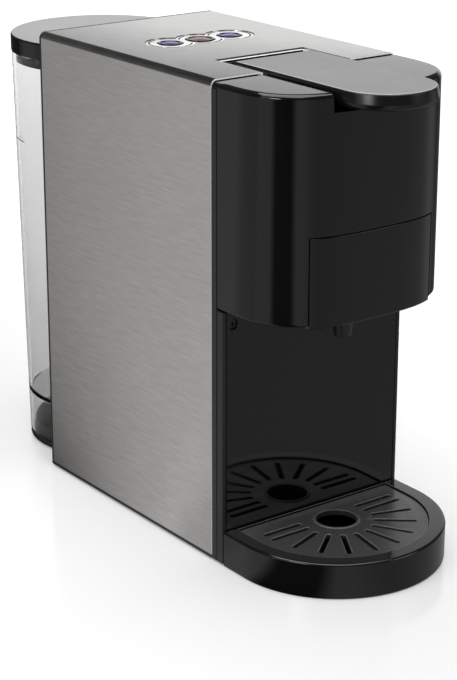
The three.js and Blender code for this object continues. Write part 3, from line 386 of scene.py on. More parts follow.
def brushed_group():
    """Long fine scratches along Y, with painted shade on the top faces and folds and a painted reflection
    that darkens the top towards the front left.
    """
    tree, given, results = shader_group(
        "Brushed Grain", Dark=(0.3, 0.3, 0.3, 1), Light=(0.5, 0.5, 0.5, 1), Grain=900.0, Roughness=0.3)
    place = object_place(tree)
    wander = node(tree, "ShaderNodeTexNoise",
                  {"Vector": place, "Scale": 14.0, "Detail": 2.0}).outputs["Color"]
    drift = vector_maths(tree, "MULTIPLY", wander, (0.0012, 0.0, 0.0012))
    bent = vector_maths(tree, "ADD", place, drift)
    stretched = node(tree, "ShaderNodeMapping", {"Vector": bent, "Scale": (1.0, 0.09, 1.0)}).outputs[0]
    grain = noise(tree, stretched, given["Grain"], 4.0, Roughness=0.7)
    coarse = noise(tree, stretched, 620.0, 3.0, Roughness=0.6)
    slow = remap(tree, noise(tree, place, 7.0, 2.0), 0.3, 0.7, 0.0, 0.2)
    streak = remap(tree, maths(tree, "ADD", grain, coarse), 0.5, 1.5, 0.0, 1.0)
    tone = maths(tree, "MULTIPLY_ADD", streak, 0.8, slow)
    # Painted shade: the ramp makes upward faces darker than the sides and the slanted folds darker still.
    facing_up = height_of(tree, node(tree, "ShaderNodeNewGeometry").outputs["Normal"])
    painted_top_shade = node(tree, "ShaderNodeValToRGB", {"Fac": facing_up})
    side, top = painted_top_shade.color_ramp.elements
    side.position, side.color = 0.05, (1, 1, 1, 1)
    top.position, top.color = 0.995, (0.78, 0.78, 0.78, 1)
    painted_top_shade.color_ramp.elements.new(0.7).color = (0.62, 0.62, 0.62, 1)
    # Painted reflection: the top faces darken towards the front left.
    across = vector_maths(tree, "DOT_PRODUCT", place, (3.1, 1.2, 0))
    painted_sheen = grey(tree, remap(tree, across, -0.28, 0.1, 0.15, 1.0))
    plain = blend_colours(tree, tone, given["Dark"], given["Light"])
    top_shaded = vector_maths(tree, "MULTIPLY", plain, painted_top_shade.outputs["Color"])
    colour = vector_maths(tree, "MULTIPLY", top_shaded, blend_colours(tree, facing_up, (1, 1, 1, 1), painted_sheen))
    rough = maths(tree, "ADD", given["Roughness"], remap(tree, streak, 0.0, 1.0, -0.07, 0.07))
    give(tree, results, colour, rough, streak)


def moulded_group():
    """Fine moulded grain, faint dust and handling marks, with slightly paler worn edges."""
    tree, given, results = shader_group(
        "Moulded Plastic", Color=(0.05, 0.05, 0.05, 1), Worn=(0.1, 0.1, 0.1, 1), Roughness=0.4, Grain=2600.0,
        Marks=0.05, Wear=0.4)
    place = object_place(tree)
    grain = node(tree, "ShaderNodeTexVoronoi", {"Vector": place, "Scale": given["Grain"]}).outputs["Distance"]
    marks = noise(tree, place, 38.0, 6.0, Roughness=0.62, Distortion=0.4)
    tint = remap(tree, noise(tree, place, 11.0, 3.0), 0.3, 0.7, 0.94, 1.06)
    edge = remap(tree, node(tree, "ShaderNodeNewGeometry").outputs["Pointiness"], 0.53, 0.62, 0.0, 1.0)
    broken = maths(tree, "MULTIPLY", edge, marks)
    worn = maths(tree, "MULTIPLY", broken, given["Wear"], use_clamp=True)
    colour = blend_colours(tree, worn, given["Color"], given["Worn"])
    shaded = node(tree, "ShaderNodeVectorMath", {0: colour, "Scale": tint}, operation="SCALE").outputs[0]
    swing = remap(tree, marks, 0.35, 0.7, -0.5, 1.0)
    rough = maths(tree, "MULTIPLY_ADD", swing, given["Marks"], given["Roughness"])
    give(tree, results, shaded, rough, grain)


def metal_group():
    """Plated or cast metal: fine grain and soft blotches."""
    tree, given, results = shader_group(
        "Plain Metal", Color=(0.6, 0.6, 0.6, 1), Stain=(0.45, 0.45, 0.44, 1), Roughness=0.3, Grain=900.0)
    place = object_place(tree)
    blotch = noise(tree, place, 60.0, 4.0)
    stained = remap(tree, blotch, 0.4, 0.65, 0.0, 1.0)
    rough = maths(tree, "ADD", given["Roughness"], remap(tree, blotch, 0.3, 0.7, -0.05, 0.08))
    give(tree, results, blend_colours(tree, stained, given["Color"], given["Stain"]), rough,
         noise(tree, place, given["Grain"], 3.0))


# ----------------------------------------------------------------------------------------------------
# Materials
# ----------------------------------------------------------------------------------------------------

MATERIALS = {}


def coloured(shade, warm=0.0):
    return (shade * (1 + warm), shade, shade * (1 - warm), 1)


def bare_material(name):
    """A new Principled material, its node tree and its shader."""
    material = bpy.data.materials.new(name)
    material.use_nodes = True
    return material, material.node_tree, material.node_tree.nodes["Principled BSDF"]


def surface(name, kind, values, bump, bump_distance=0.02 * MM, **plain):
    """A Principled material fed by one shader group, with its constant values set straight on the shader."""
    material, tree, shader = bare_material(name)
    for key, value in plain.items():
        shader.inputs[key.replace("_", " ")].default_value = value
    source = node(tree, "ShaderNodeGroup", node_tree=GROUPS[kind])
    for key, value in values.items():
        source.inputs[key].default_value = value
    tree.links.new(source.outputs["Color"], shader.inputs["Base Color"])
    tree.links.new(source.outputs["Roughness"], shader.inputs["Roughness"])
    if bump:
        relief = node(tree, "ShaderNodeBump", {
            "Height": source.outputs["Height"], "Strength": bump, "Distance": bump_distance})
        tree.links.new(relief.outputs["Normal"], shader.inputs["Normal"])
    MATERIALS[name] = material


def plastic(name, tone, roughness, grain=2600.0, marks=0.04, bump=0.15, wear=0.4, **plain):
    """Moulded plastic of one grey tone, or of a red, green and blue one."""
    base = coloured(tone) if isinstance(tone, float) else (*tone, 1)
    worn = (*(min(1.0, channel * 1.9 + 0.02) for channel in base[:3]), 1)
    surface(name, "Moulded Plastic", {
        "Color": base, "Worn": worn, "Roughness": roughness, "Grain": grain, "Marks": marks, "Wear": wear,
    }, bump=bump, **plain)


def metal(name, shade, roughness, grain=900.0, bump=0.08, **plain):
    surface(name, "Plain Metal", {
        "Color": coloured(shade, 0.01), "Stain": coloured(shade * 0.86, 0.02), "Roughness": roughness,
        "Grain": grain,
    }, bump=bump, Metallic=1.0, **plain)


def make_materials(look):
    """Builds the shader groups and every finish once."""
    brushed_group()
    moulded_group()
    metal_group()
    surface("Brushed steel", "Brushed Grain", {
        "Dark": coloured(look.steel_shade * 0.8, 0.018), "Light": coloured(look.steel_shade * 1.2, 0.022),
        "Grain": 900.0, "Roughness": look.steel_roughness,
    }, bump=0.22, bump_distance=0.03 * MM, Metallic=1.0)
    plastic("Gloss black", look.black_shade, 0.07, marks=0.02, bump=0.0, wear=0.1)
    plastic("Column black", look.black_shade, 0.05, marks=0.02, bump=0.0, wear=0.1)
    plastic("Lever black", look.black_shade * 1.5, 0.22, marks=0.04, bump=0.03, wear=0.2)
    plastic("Tray black", look.black_shade * 1.5, 0.1, marks=0.05, bump=0.05, wear=0.2)
    plastic("Satin black", 0.022, 0.42, marks=0.08, bump=0.25)
    plastic("Frame black", 0.012, 0.34, marks=0.06, bump=0.2)
    # The grate's strong edge wear pales its edges: partly wear and partly a painted highlight.
    plastic("Grate black", 0.045, 0.28, marks=0.08, bump=0.2, wear=1.4)
    plastic("Lever grey", look.lever_shade, 0.46, marks=0.05, grain=3400.0, bump=0.3, wear=0.15)
    # Painted highlight: a paler tone for the lever plate's rounded edges.
    plastic("Lever edge highlight", look.lever_shade * 2.6, 0.35, marks=0.03, bump=0.0, wear=0.1)
    # Painted highlight for the bevels of the grate and of its seat in the tray.
    plastic("Grate edge highlight", 0.16, 0.3, marks=0.05, bump=0.0, wear=0.2)
    plastic("Lid grey", 0.34, 0.38, marks=0.05, bump=0.2, wear=0.2)
    plastic("Soft rubber", 0.018, 0.75, marks=0.1, grain=1400.0, bump=0.5)
    plastic("Silicone", (0.62, 0.6, 0.54), 0.5, marks=0.08, wear=0.1, Subsurface_Weight=0.1)
    plastic("White plastic", (0.75, 0.74, 0.7), 0.4, marks=0.08, wear=0.1)
    plastic("Grey plastic", 0.28, 0.45, marks=0.08)
    plastic("Board green", (0.05, 0.2, 0.1), 0.4, marks=0.1)
    plastic("Blue button", look.side_button_colour, 0.22, marks=0.03, bump=0.05, wear=0.1)
    plastic("Red button", look.middle_button_colour, 0.22, marks=0.03, bump=0.05, wear=0.1)
    plastic("Level mark", 0.45, 0.3, marks=0.03, bump=0.0)
    metal("Bright steel", 0.82, 0.12, bump=0.03)
    # Emission paints a glint on cut steel edges, though they are no lamp.
    metal("Cut steel glint", 0.95, 0.6, bump=0.03, Emission_Strength=0.25, Emission_Color=coloured(1.0))
    metal("Plated steel", 0.6, 0.28)
    metal("Cast aluminium", 0.5, 0.5, grain=420.0, bump=0.5)
    clear_plastic("Clear plastic", look.tank_tint)


def clear_plastic(name, tint):
    """Moulded clear plastic with faint flow marks, darkened towards the bottom by painted shade."""
    material, tree, shader = bare_material(name)
    shader.inputs["Transmission Weight"].default_value = 1.0
    shader.inputs["Metallic"].default_value = 0.0
    shader.inputs["IOR"].default_value = 1.12
    place = object_place(tree)
    flow = noise(tree, place, 9.0, 3.0)
    # Painted shade: the tint darkens towards the bottom.
    lower_shade = remap(tree, height_of(tree, place), high("tank_body").z, 0.0, 0.0, 1.0)
    shade = blend_colours(tree, lower_shade, coloured(tint), coloured(tint * 0.82))
    bright = blend_colours(tree, lower_shade, coloured(tint * 1.03), coloured(tint * 0.86))
    colour = blend_colours(tree, remap(tree, flow, 0.3, 0.7, 0.0, 1.0), shade, bright)
    tree.links.new(colour, shader.inputs["Base Color"])
    tree.links.new(remap(tree, flow, 0.3, 0.7, 0.02, 0.06), shader.inputs["Roughness"])
    MATERIALS[name] = material


# ----------------------------------------------------------------------------------------------------
# Sizes and colours a user would change
# ----------------------------------------------------------------------------------------------------

def length(name, description, default):
    return bpy.props.FloatProperty(
        name=name, description=description, default=default, unit="LENGTH", precision=5)


def shade(name, description, default):
    return bpy.props.FloatProperty(name=name, description=description, default=default, min=0.0, max=1.0)


def colour(name, description, default):
    return bpy.props.FloatVectorProperty(
        name=name, description=description, default=default, subtype="COLOR", size=3, min=0.0, max=1.0)


class CoffeeSizes(bpy.types.PropertyGroup):
    """Radii, gaps and thin details of the casings."""
    fold_radius: length("Steel fold", "Radius of the steel cover's long top folds", 4 * MM)
    strip_depth: length("Frame strip", "Depth of the satin strip beside the steel", 4.4 * MM)
    sheet: length("Steel sheet", "Thickness of the steel cover", 1 * MM)
    notch_half: length("Notch half width", "Half the width of the lever's notch in the steel", 30.5 * MM)
    notch_depth: length("Notch depth", "From the steel's front edge to the back of the notch", 41 * MM)
    lobe_radius: length("Button lobe", "Radius of each round of the button recess", 14.5 * MM)
    head_radius: length("Head edge", "Radius of the head's top edge", 2.8 * MM)
    head_foot_radius: length("Head foot", "Radius of the head's lower edge", 2.2 * MM)
    lever_lip_radius: length("Lever lip", "Radius under the lever's nose", 3.6 * MM)
    tray_radius: length("Tray edge", "Radius of the drip tray's top edge", 1.4 * MM)
    slot_width: length("Grate slot", "Width of each slot in the grate", 3 * MM)
    tank_foot_radius: length("Tank foot", "Radius round the bottom of the tank", 1.2 * MM)
    tank_corner_radius: length("Tank corner", "Radius of the tank's upright corners", 5 * MM)
    button_floor_lift: length("Button floor", "How far the button floor stands above its bezel", 0.9 * MM)
    middle_button_radius: length("Middle button", "Radius of the middle button's cap", 8.5 * MM)
    side_button_radius: length("Side buttons", "Radius of the outer buttons' caps", 7.3 * MM)
    drawer_seam: length("Drawer seam", "Gap round the capsule drawer's front", 0.5 * MM)
    head_power: bpy.props.FloatProperty(
        name="Head squareness", description="2 is an ellipse, more is squarer", default=3.0, min=2.0, max=6.0)


class CoffeeLook(bpy.types.PropertyGroup):
    """Shades and colours of the finishes."""
    steel_shade: shade("Steel", "Middle tone of the brushed steel", 0.68)
    steel_roughness: shade("Steel roughness", "How far the brushing spreads a reflection", 0.19)
    black_shade: shade("Gloss black", "Tone of the glossy casings", 0.003)
    lever_shade: shade("Lever", "Tone of the lever's top plate", 0.23)
    tank_tint: shade("Tank", "Tone of the clear tank", 0.775)
    side_button_colour: colour("Side buttons", "Colour of the outer buttons", (0.05, 0.04, 0.22))
    middle_button_colour: colour("Middle button", "Colour of the middle button", (0.12, 0.03, 0.045))


# ----------------------------------------------------------------------------------------------------
# Pieces
# ----------------------------------------------------------------------------------------------------

def round_about(z_low, z_high, sizes, radius_offset=0.0):
    """The three joined rounds of the button recess as one cutter."""
    radius = sizes.lobe_radius + radius_offset
    first, *others = [post("lobe", radius, middle(name), z_low, z_high, vertices=96) for name in BUTTONS]
    return carve(first, *others, operation="UNION")


class COFFEE_OT_steel_cover(bpy.types.Operator):
    """Folds the brushed steel cover, with the lever's notch and the button recess cut through its top"""
    bl_idname = "coffee.steel_cover"
    bl_label = "Steel cover"

    def execute(self, context):
        sizes = context.scene.coffee_sizes
        start, end = ends("steel_cover")
        cover = block("steel_wrap", (start.x, end.x), (start.y, end.y), (start.z, end.z))
        select_where(cover, "FACE", lambda face: abs(face.normal.y) > 0.9 or face.normal.z < -0.9)
        bpy.ops.mesh.delete(type="FACE")
        done_editing()

        def long_top(edge):
            on_top = all(vertex.co.z > end.z - MM for vertex in edge.verts)
            return on_top and abs(edge.verts[0].co.x - edge.verts[1].co.x) < MM
        round_edges(cover, long_top, sizes.fold_radius, segments=12)
        modify(cover, "SOLIDIFY", thickness=sizes.sheet, offset=-1, use_even_offset=True)
        front = start.y
        notch = block("notch", (-sizes.notch_half, sizes.notch_half),
                      (front - 5 * MM, front + sizes.notch_depth), (end.z - 12 * MM, end.z + 2 * MM))
        carve(cover, notch, round_about(end.z - 3 * MM, end.z + 2 * MM, sizes))
        soften(cover, 0.28 * MM, segments=2)
        finish(cover, "chassis", "steel", "Brushed steel", "steel_cover")
        # Painted glint: the cover's front edge faces get the glowing cut steel.
        paint(cover, "Cut steel glint", lambda face: face.normal.y < -0.5 and face.center.y < front + MM)
        rear = front + sizes.notch_depth

        def notch_rear(face):
            near = abs(face.center.y - rear) < 0.3 * MM and face.center.z > end.z - 2 * MM
            return near and face.normal.z < 0.5
        paint(cover, "Satin black", notch_rear)
        self.trim(sizes, front, end.z)
        return {"FINISHED"}

    def trim(self, sizes, front, top):
        """The bright lining round the notch, between the steel and the lever, in cut steel with a painted
        glint.
        """
        outer = sizes.notch_half - 0.7 * MM
        inner = high("lever_body").x + 0.25 * MM
        rear = front + sizes.notch_depth - 0.5 * MM
        step = rear - 1.9 * MM
        crest = top - 0.8 * MM
        lining = block("notch_lining", (-outer, outer), (front + SEAM, rear), (crest - 1.4 * MM, crest))
        carve(lining, block("opening", (-inner, inner), (front - MM, step), (top - 4 * MM, top + MM)))

        def rear_crest(edge):
            return all(abs(v.co.z - crest) < 0.02 * MM and abs(v.co.y - step) < 0.02 * MM for v in edge.verts)
        round_edges(lining, rear_crest, 0.6 * MM, segments=1)
        soften(lining, 0.1 * MM, segments=1)
        finish(lining, "chassis", "steel", "Cut steel glint")
        paint(lining, "Gloss black", lambda face: face.normal.y < -0.9 and face.center.y > front + MM)


class COFFEE_OT_front(bpy.types.Operator):
    """Builds the front frame's satin strips, the glossy column and its two screws"""
    bl_idname = "coffee.front"
    bl_label = "Front frame"

    def execute(self, context):
        sizes = context.scene.coffee_sizes
        start, end = ends("front_frame")
        strips = merged_copy("front_frame", "front_surround")
        seam = end.y - sizes.strip_depth
        shelf = low("head_shell").z - SEAM
        rebate = block("rebate", (start.x - MM, end.x + MM), (start.y - MM, seam), (shelf, end.z + MM))
        groove = block("groove", (start.x - MM, end.x + MM), (seam - 0.5 * MM, seam),
                       (start.z - MM, shelf + MM))
        core = block("core", (start.x + 0.7 * MM, end.x - 0.7 * MM), (seam - MM, seam + MM),
                     (start.z - 2 * MM, end.z + 2 * MM))
        carve(strips, carve(groove, core), rebate)
        soften(strips, 0.4 * MM, segments=3)
        finish(strips, "chassis", "satin_black", "Frame black", "front_frame")
        column = merged_copy("front_panel", "column_face")
        soften(column, 0.35 * MM, segments=3)
        finish(column, "chassis", "gloss_black", "Column black", "front_panel")
        dress("Satin black", "panel_screw_left", "panel_screw_right")
        return {"FINISHED"}


def head_solid(name, sizes, inset, bottom, top):
    """The head's plan raised between two heights, offset inwards by inset."""
    start, end = ends("head_shell")
    shoulder = low("front_frame").y - SEAM
    return round_front(name, end.x - inset, shoulder, start.y + inset, high("front_frame").y, bottom, top,
                       power=sizes.head_power)


class COFFEE_OT_head(bpy.types.Operator):
    """Builds the hollow brewing head with the lever's channel, the drawer's mouth and softly rounded rims"""
    bl_idname = "coffee.head"
    bl_label = "Brewing head"

    def execute(self, context):
        sizes = context.scene.coffee_sizes
        start, end = ends("head_shell")
        shell = head_solid("brewing_head", sizes, 0, start.z, end.z)
        round_edges(shell, rim_at(end.z), sizes.head_radius, segments=10)
        round_edges(shell, rim_at(start.z), sizes.head_foot_radius, segments=8)
        back = high("front_frame").y - sizes.strip_depth - SEAM
        brow = end.z - HEAD_BROW
        behind = block("behind", (-0.1, 0.1), (back, 0.0), (start.z - MM, brow))
        carve(shell, behind)
        notch_half = sizes.notch_half
        channel_floor = low("lever_body").z + 1.6 * MM
        hollow = head_solid("hollow", sizes, WALL, start.z + WALL, end.z - WALL)
        carve(hollow,
              block("trough", (-notch_half - WALL, notch_half + WALL), (start.y - MM, 0.0),
                    (channel_floor - WALL, 1.0)),
              block("behind", (-0.1, 0.1), (back, 0.0), (start.z - MM, 1.0)))
        carve(shell, hollow)
        channel = block("channel", (-notch_half, notch_half), (start.y - 5 * MM, 0.0),
                        (channel_floor, end.z + MM))
        drawer_high = high("drawer_front")
        mouth_half = drawer_high.x + sizes.drawer_seam
        mouth = block("mouth", (-mouth_half, mouth_half), (start.y - 5 * MM, back + 5 * MM),
                      (start.z - 5 * MM, drawer_high.z + sizes.drawer_seam))
        carve(shell, channel, mouth)
        soften(shell, 0.3 * MM, segments=2)
        finish(shell, "chassis", "gloss_black", "Gloss black", "head_shell")
        return {"FINISHED"}


class COFFEE_OT_drawer(bpy.types.Operator):
    """Builds the capsule drawer's curved front, its tray with the capsule seat, and the spout"""
    bl_idname = "coffee.drawer"
    bl_label = "Capsule drawer"

    def execute(self, context):
        sizes = context.scene.coffee_sizes
        start, end = ends("drawer_front")
        face = head_solid("drawer_face", sizes, 0, start.z, end.z)
        round_edges(face, rim_at(start.z), 1.4 * MM, segments=6)
        keep = block("keep", (start.x, end.x), (start.y - 5 * MM, end.y), (start.z - MM, end.z + MM))
        carve(face, keep, operation="INTERSECT")
        carve(face, head_solid("inner", sizes, DRAWER_WALL, start.z - 2 * MM, end.z + 2 * MM))
        soften(face, 0.35 * MM, segments=3, angle=45)
        finish(face, "drawer", "gloss_black", "Gloss black", "drawer_front")

        tray_low, tray_high = ends("drawer_tray")
        carrier = head_solid("capsule_carrier", sizes, DRAWER_WALL + SEAM, tray_low.z, tray_high.z)
        keep = block("keep", (tray_low.x, tray_high.x), (tray_low.y - MM, tray_high.y),
                     (tray_low.z - MM, 1.0))
        carve(carrier, keep, operation="INTERSECT")
        axis = middle("spout")
        seat_low = tray_high.z - 31 * MM
        seat = turned("seat", [(13 * MM, seat_low), (CAPSULE_RADIUS, tray_high.z - 5 * MM),
                               (CAPSULE_RADIUS, tray_high.z - 2 * MM),
                               (CAPSULE_RADIUS + 1.5 * MM, tray_high.z + MM)], axis, vertices=96)
        outlet = post("outlet", 4 * MM, axis, tray_low.z - MM, seat_low + MM)
        under = block("under", (tray_low.x + 3 * MM, tray_high.x - 3 * MM),
                      (tray_low.y + 8 * MM, tray_high.y - 3 * MM),
                      (tray_low.z - MM, seat_low - 4 * MM))
        pillar = post("pillar", 11 * MM, axis, tray_low.z - 3 * MM, seat_low)
        carve(under, pillar)
        carve(carrier, seat, outlet, under)
        soften(carrier, 0.5 * MM, segments=3)
        finish(carrier, "drawer", "satin_black", "Satin black", "drawer_tray")

        tip, root = low("spout").z, high("spout").z
        nozzle = turned("spout_nozzle", [
            (4.2 * MM, tip), (4.8 * MM, tip + 0.5 * MM), (5.9 * MM, tip + 8 * MM), (6.8 * MM, tip + 14 * MM),
            (8 * MM, root - 2 * MM), (10 * MM, root - 0.4 * MM), (9.8 * MM, root)], axis, vertices=64)
        carve(nozzle, post("bore", NOZZLE_BORE, axis, tip - MM, root + MM, 48))
        finish(nozzle, "drawer", "satin_black", "Satin black", "spout")
        return {"FINISHED"}


def lever_solid(name, inset, bottom, top, rear=None):
    """The lever's plan raised between two heights, offset inwards by inset."""
    start, end = ends("lever_body")
    shoulder = start.y + LEVER_NOSE
    rear = high("lever_plate").y if rear is None else rear
    return round_front(name, end.x - inset, shoulder, start.y + inset, rear, bottom, top)


class COFFEE_OT_lever(bpy.types.Operator):
    """Builds the lever's glossy body with its finger grip and knuckles, and the matte plate on top"""
    bl_idname = "coffee.lever"
    bl_label = "Lever"

    def execute(self, context):
        sizes = context.scene.coffee_sizes
        plate_low, plate_high = ends("lever_plate")
        pin = middle("hinge_pin")
        bottom = pin.z
        rim = plate_high.z - 0.4 * MM
        rear = high("lever_plate").y
        body = lever_solid("lever_grip", 0, bottom, rim)
        select_where(body, "FACE", lambda face: face.normal.z > 0.9)
        bpy.ops.transform.resize(value=(0.955, 0.989, 1), center_override=(0, rear, rim))
        done_editing()
        round_edges(body, rim_at(bottom), sizes.lever_lip_radius, segments=10)
        round_edges(body, rim_at(rim), 0.5 * MM, segments=4)
        seat = lever_solid("seat", 1.9 * MM, plate_low.z - SEAM, 1.0, rear + 5 * MM)
        start = low("lever_body")
        grip_half = high("lever_body").x - LEVER_RIM
        roof = plate_high.z - LEVER_TOP
        grip = round_front("grip", grip_half, start.y + LEVER_NOSE, start.y + LEVER_RIM, start.y + 29 * MM,
                           bottom - MM, roof)
        relief = block("relief", (-grip_half, grip_half), (start.y + 34 * MM, rear - 25 * MM),
                       (bottom - MM, roof))
        carve(body, seat, grip, relief)
        pocket_half = high("crank_right").x + SEAM
        for side in (-1, 1):
            inner, outer = side * (pocket_half + 0.5 * MM), side * (high("lever_body").x - 1.5 * MM)
            barrel = cylinder("barrel", 4.6 * MM, (inner, pin.y, pin.z), (outer, pin.y, pin.z), 48)
            inside = (min(inner, outer) + 0.1 * MM, max(inner, outer) - 0.1 * MM)
            web = block("web", inside, (rear - 7.3 * MM, pin.y), (pin.z + 0.4 * MM, pin.z + 4.3 * MM))
            carve(body, carve(barrel, web, operation="UNION"), operation="UNION")
        pocket = block("pocket", (-pocket_half, pocket_half), (rear - 19 * MM, rear + 20 * MM),
                       (bottom - 10 * MM, plate_low.z - 1.4 * MM))
        bore = cylinder("bore", 2.3 * MM, (-0.05, pin.y, pin.z), (0.05, pin.y, pin.z), 48)
        carve(body, pocket, bore)
        soften(body, 0.25 * MM, segments=2)
        finish(body, "lever", "gloss_black", "Lever black", "lever_body")

        plate = lever_solid("lever_top", 2.1 * MM, plate_low.z, plate_high.z)
        soften(plate, 0.4 * MM, segments=4)
        finish(plate, "lever", "grey_plastic", "Lever grey", "lever_plate")
        # Painted highlight along the plate's rounded edges.
        paint(plate, "Lever edge highlight", lambda face: 0.2 < face.normal.z < 0.97)
        dress("Plated steel", "crank_left", "crank_right", "crank_pin", "hinge_pin")
        return {"FINISHED"}


class COFFEE_OT_buttons(bpy.types.Operator):
    """Builds the bright recessed floor and the three lit buttons with their rings"""
    bl_idname = "coffee.buttons"
    bl_label = "Buttons"

    def execute(self, context):
        sizes = context.scene.coffee_sizes
        floor_top = high("button_bezel").z + sizes.button_floor_lift
        floor_low = low("button_bezel").z
        bezel = round_about(floor_top - 1.6 * MM, floor_top, sizes, -SEAM)
        bezel.name = "button_floor"
        flange = block("flange", (low("button_bezel").x, high("button_bezel").x),
                       (low("button_bezel").y, high("button_bezel").y), (floor_low, floor_top - 1.2 * MM))
        carve(bezel, flange, operation="UNION")
        for name in BUTTONS:
            hole = post("hole", self.radius(name, sizes) + CAP_CLEARANCE, middle(name), floor_low - MM,
                        floor_top + MM, 96)
            carve(bezel, hole)
        groove = round_about(floor_top - 0.5 * MM, floor_top + MM, sizes, -1.8 * MM)
        carve(bezel, carve(groove, round_about(floor_top - MM, floor_top + 2 * MM, sizes, -2.7 * MM)))
        soften(bezel, 0.12 * MM, segments=2)
        finish(bezel, "chassis", "bright_steel", "Bright steel", "button_bezel")
        # Painted shade: the groove and the faces at its depth are painted gloss black so they read as dark
        # lines.
        paint(bezel, "Gloss black", lambda face: abs(face.center.z - floor_top + 0.35 * MM) < 0.2 * MM)
        for name in BUTTONS:
            self.cap(name, self.radius(name, sizes), floor_top)
        return {"FINISHED"}

    def radius(self, name, sizes):
        return sizes.middle_button_radius if name == "button_middle" else sizes.side_button_radius

    def cap(self, name, radius, floor_top):
        """A domed cap with a raised outer ring over a stem that meets its switch."""
        bottom, top = low(name).z, floor_top + 0.45 * MM
        centre = middle(name)
        flange_z = low("button_bezel").z - SEAM
        cap = turned(name.replace("button", "cap"), [
            (2.2 * MM, bottom), (2.2 * MM, flange_z - 1.6 * MM), (radius + 1.2 * MM, flange_z - 1.59 * MM),
            (radius + 1.2 * MM, flange_z), (radius, flange_z + 0.01 * MM), (radius, top - 0.5 * MM),
            (radius - 0.15 * MM, top - 0.15 * MM), (radius - 0.5 * MM, top), (radius - 1.3 * MM, top),
            (radius - 1.6 * MM, top - 0.35 * MM), (radius - 2.2 * MM, top - 0.5 * MM),
            (radius * 0.35, top - 0.15 * MM), (radius * 0.1, top - 0.12 * MM)], centre, vertices=80)
        tint = "red" if name == "button_middle" else "blue"
        finish(cap, name, "button_" + tint, tint.title() + " button", name)
        paint(cap, "Gloss black", lambda face: face.center.z > flange_z + 0.02 * MM and (
            face.center.xy - centre.xy).length > radius - 1.5 * MM)


class COFFEE_OT_drip_tray(bpy.types.Operator):
    """Builds the hollow drip tray and its slotted grate"""
    bl_idname = "coffee.drip_tray"
    bl_label = "Drip tray"

    def execute(self, context):
        sizes = context.scene.coffee_sizes
        start, end = ends("drip_tray")
        grate_low, grate_high = ends("drip_grate")
        radius = end.x
        shoulder = start.y + radius
        grate_radius = grate_high.x
        tray = round_front("drip_basin", radius, shoulder, start.y, end.y, start.z, end.z)
        round_edges(tray, rim_at(end.z), sizes.tray_radius, segments=10)
        round_edges(tray, rim_at(start.z), 1.2 * MM, segments=4)
        inner = grate_radius + 0.5 * MM
        ledge = grate_radius - GRATE_LEDGE
        seat = round_front("seat", inner, shoulder, shoulder - inner, end.y - 1.5 * MM, grate_low.z - SEAM,
                           end.z + MM)
        basin = round_front("basin", ledge, shoulder, shoulder - ledge, end.y - 4.5 * MM, start.z + 2.4 * MM,
                            end.z)
        outer_groove = radius - WALL
        inner_groove = ledge + WALL
        groove = round_front("groove", outer_groove, shoulder, shoulder - outer_groove, end.y - WALL, -MM,
                             14 * MM)
        core = round_front("core", inner_groove, shoulder, shoulder - inner_groove, end.y + 5 * MM, -2 * MM,
                           0.1)
        carve(groove, core)
        carve(tray, seat, basin, groove)
        soften(tray, 0.35 * MM, segments=3)
        finish(tray, "drip_tray", "gloss_black", "Tray black", "drip_tray")

        # Painted highlight on the tray's inner top edge round the grate.
        def seat_highlight(face):
            reach = math.hypot(face.center.x, min(face.center.y - shoulder, 0))
            slanted = 0.2 < face.normal.z < 0.99
            return slanted and face.center.z > end.z - 0.5 * MM and reach < inner + 0.5 * MM
        paint(tray, "Grate edge highlight", seat_highlight)
        self.grate(sizes, shoulder, grate_radius, grate_low, grate_high)
        return {"FINISHED"}

    def grate(self, sizes, shoulder, radius, start, end):
        """A thin plate with a finger hole and slots fanned round it."""
        plate = round_front("drip_grille", radius, shoulder, start.y, end.y, start.z, end.z)
        hole_y = shoulder - 3 * MM
        centre = Vector((0, hole_y, 0))
        slots = []
        for degrees in [199 + 142 * i / 7 for i in range(8)]:
            slots.append(self.slot(sizes, centre, degrees, SLOT_START, SLOT_END, start.z, end.z))
        for degrees in (0, 180):
            for step in (0, 7 * MM):
                slots.append(self.slot(sizes, (0, hole_y + step), degrees, SLOT_START - MM, SLOT_END + MM,
                                       start.z, end.z))
        hole = post("hole", GRATE_HOLE, centre, start.z - MM, end.z + MM, 96)
        rim = post("rim", GRATE_HOLE + 1.5 * MM, centre, start.z, end.z + 0.5 * MM, 96)
        carve(plate, rim, operation="UNION")
        carve(plate, join("slots", *slots), hole)
        soften(plate, 0.4 * MM, segments=3)
        finish(plate, "drip_grate", "satin_black", "Grate black", "drip_grate")
        # Painted highlight on the grate's bevelled edges.
        paint(plate, "Grate edge highlight", lambda face: 0.2 < face.normal.z < 0.97)

    def slot(self, sizes, centre, degrees, inner, outer, bottom, top):
        """A round-ended cutter pointing away from the hole."""
        half = sizes.slot_width / 2
        cutter = block("slot", (inner, outer), (-half, half), (bottom - MM, top + 2 * MM))

        def upright(edge):
            return abs(edge.verts[0].co.z - edge.verts[1].co.z) > MM
        round_edges(cutter, upright, half * 0.999, segments=8)
        cutter.data.transform(Matrix.Translation((centre[0], centre[1], 0)) @ Matrix.Rotation(
            math.radians(degrees), 4, "Z"))
        return cutter


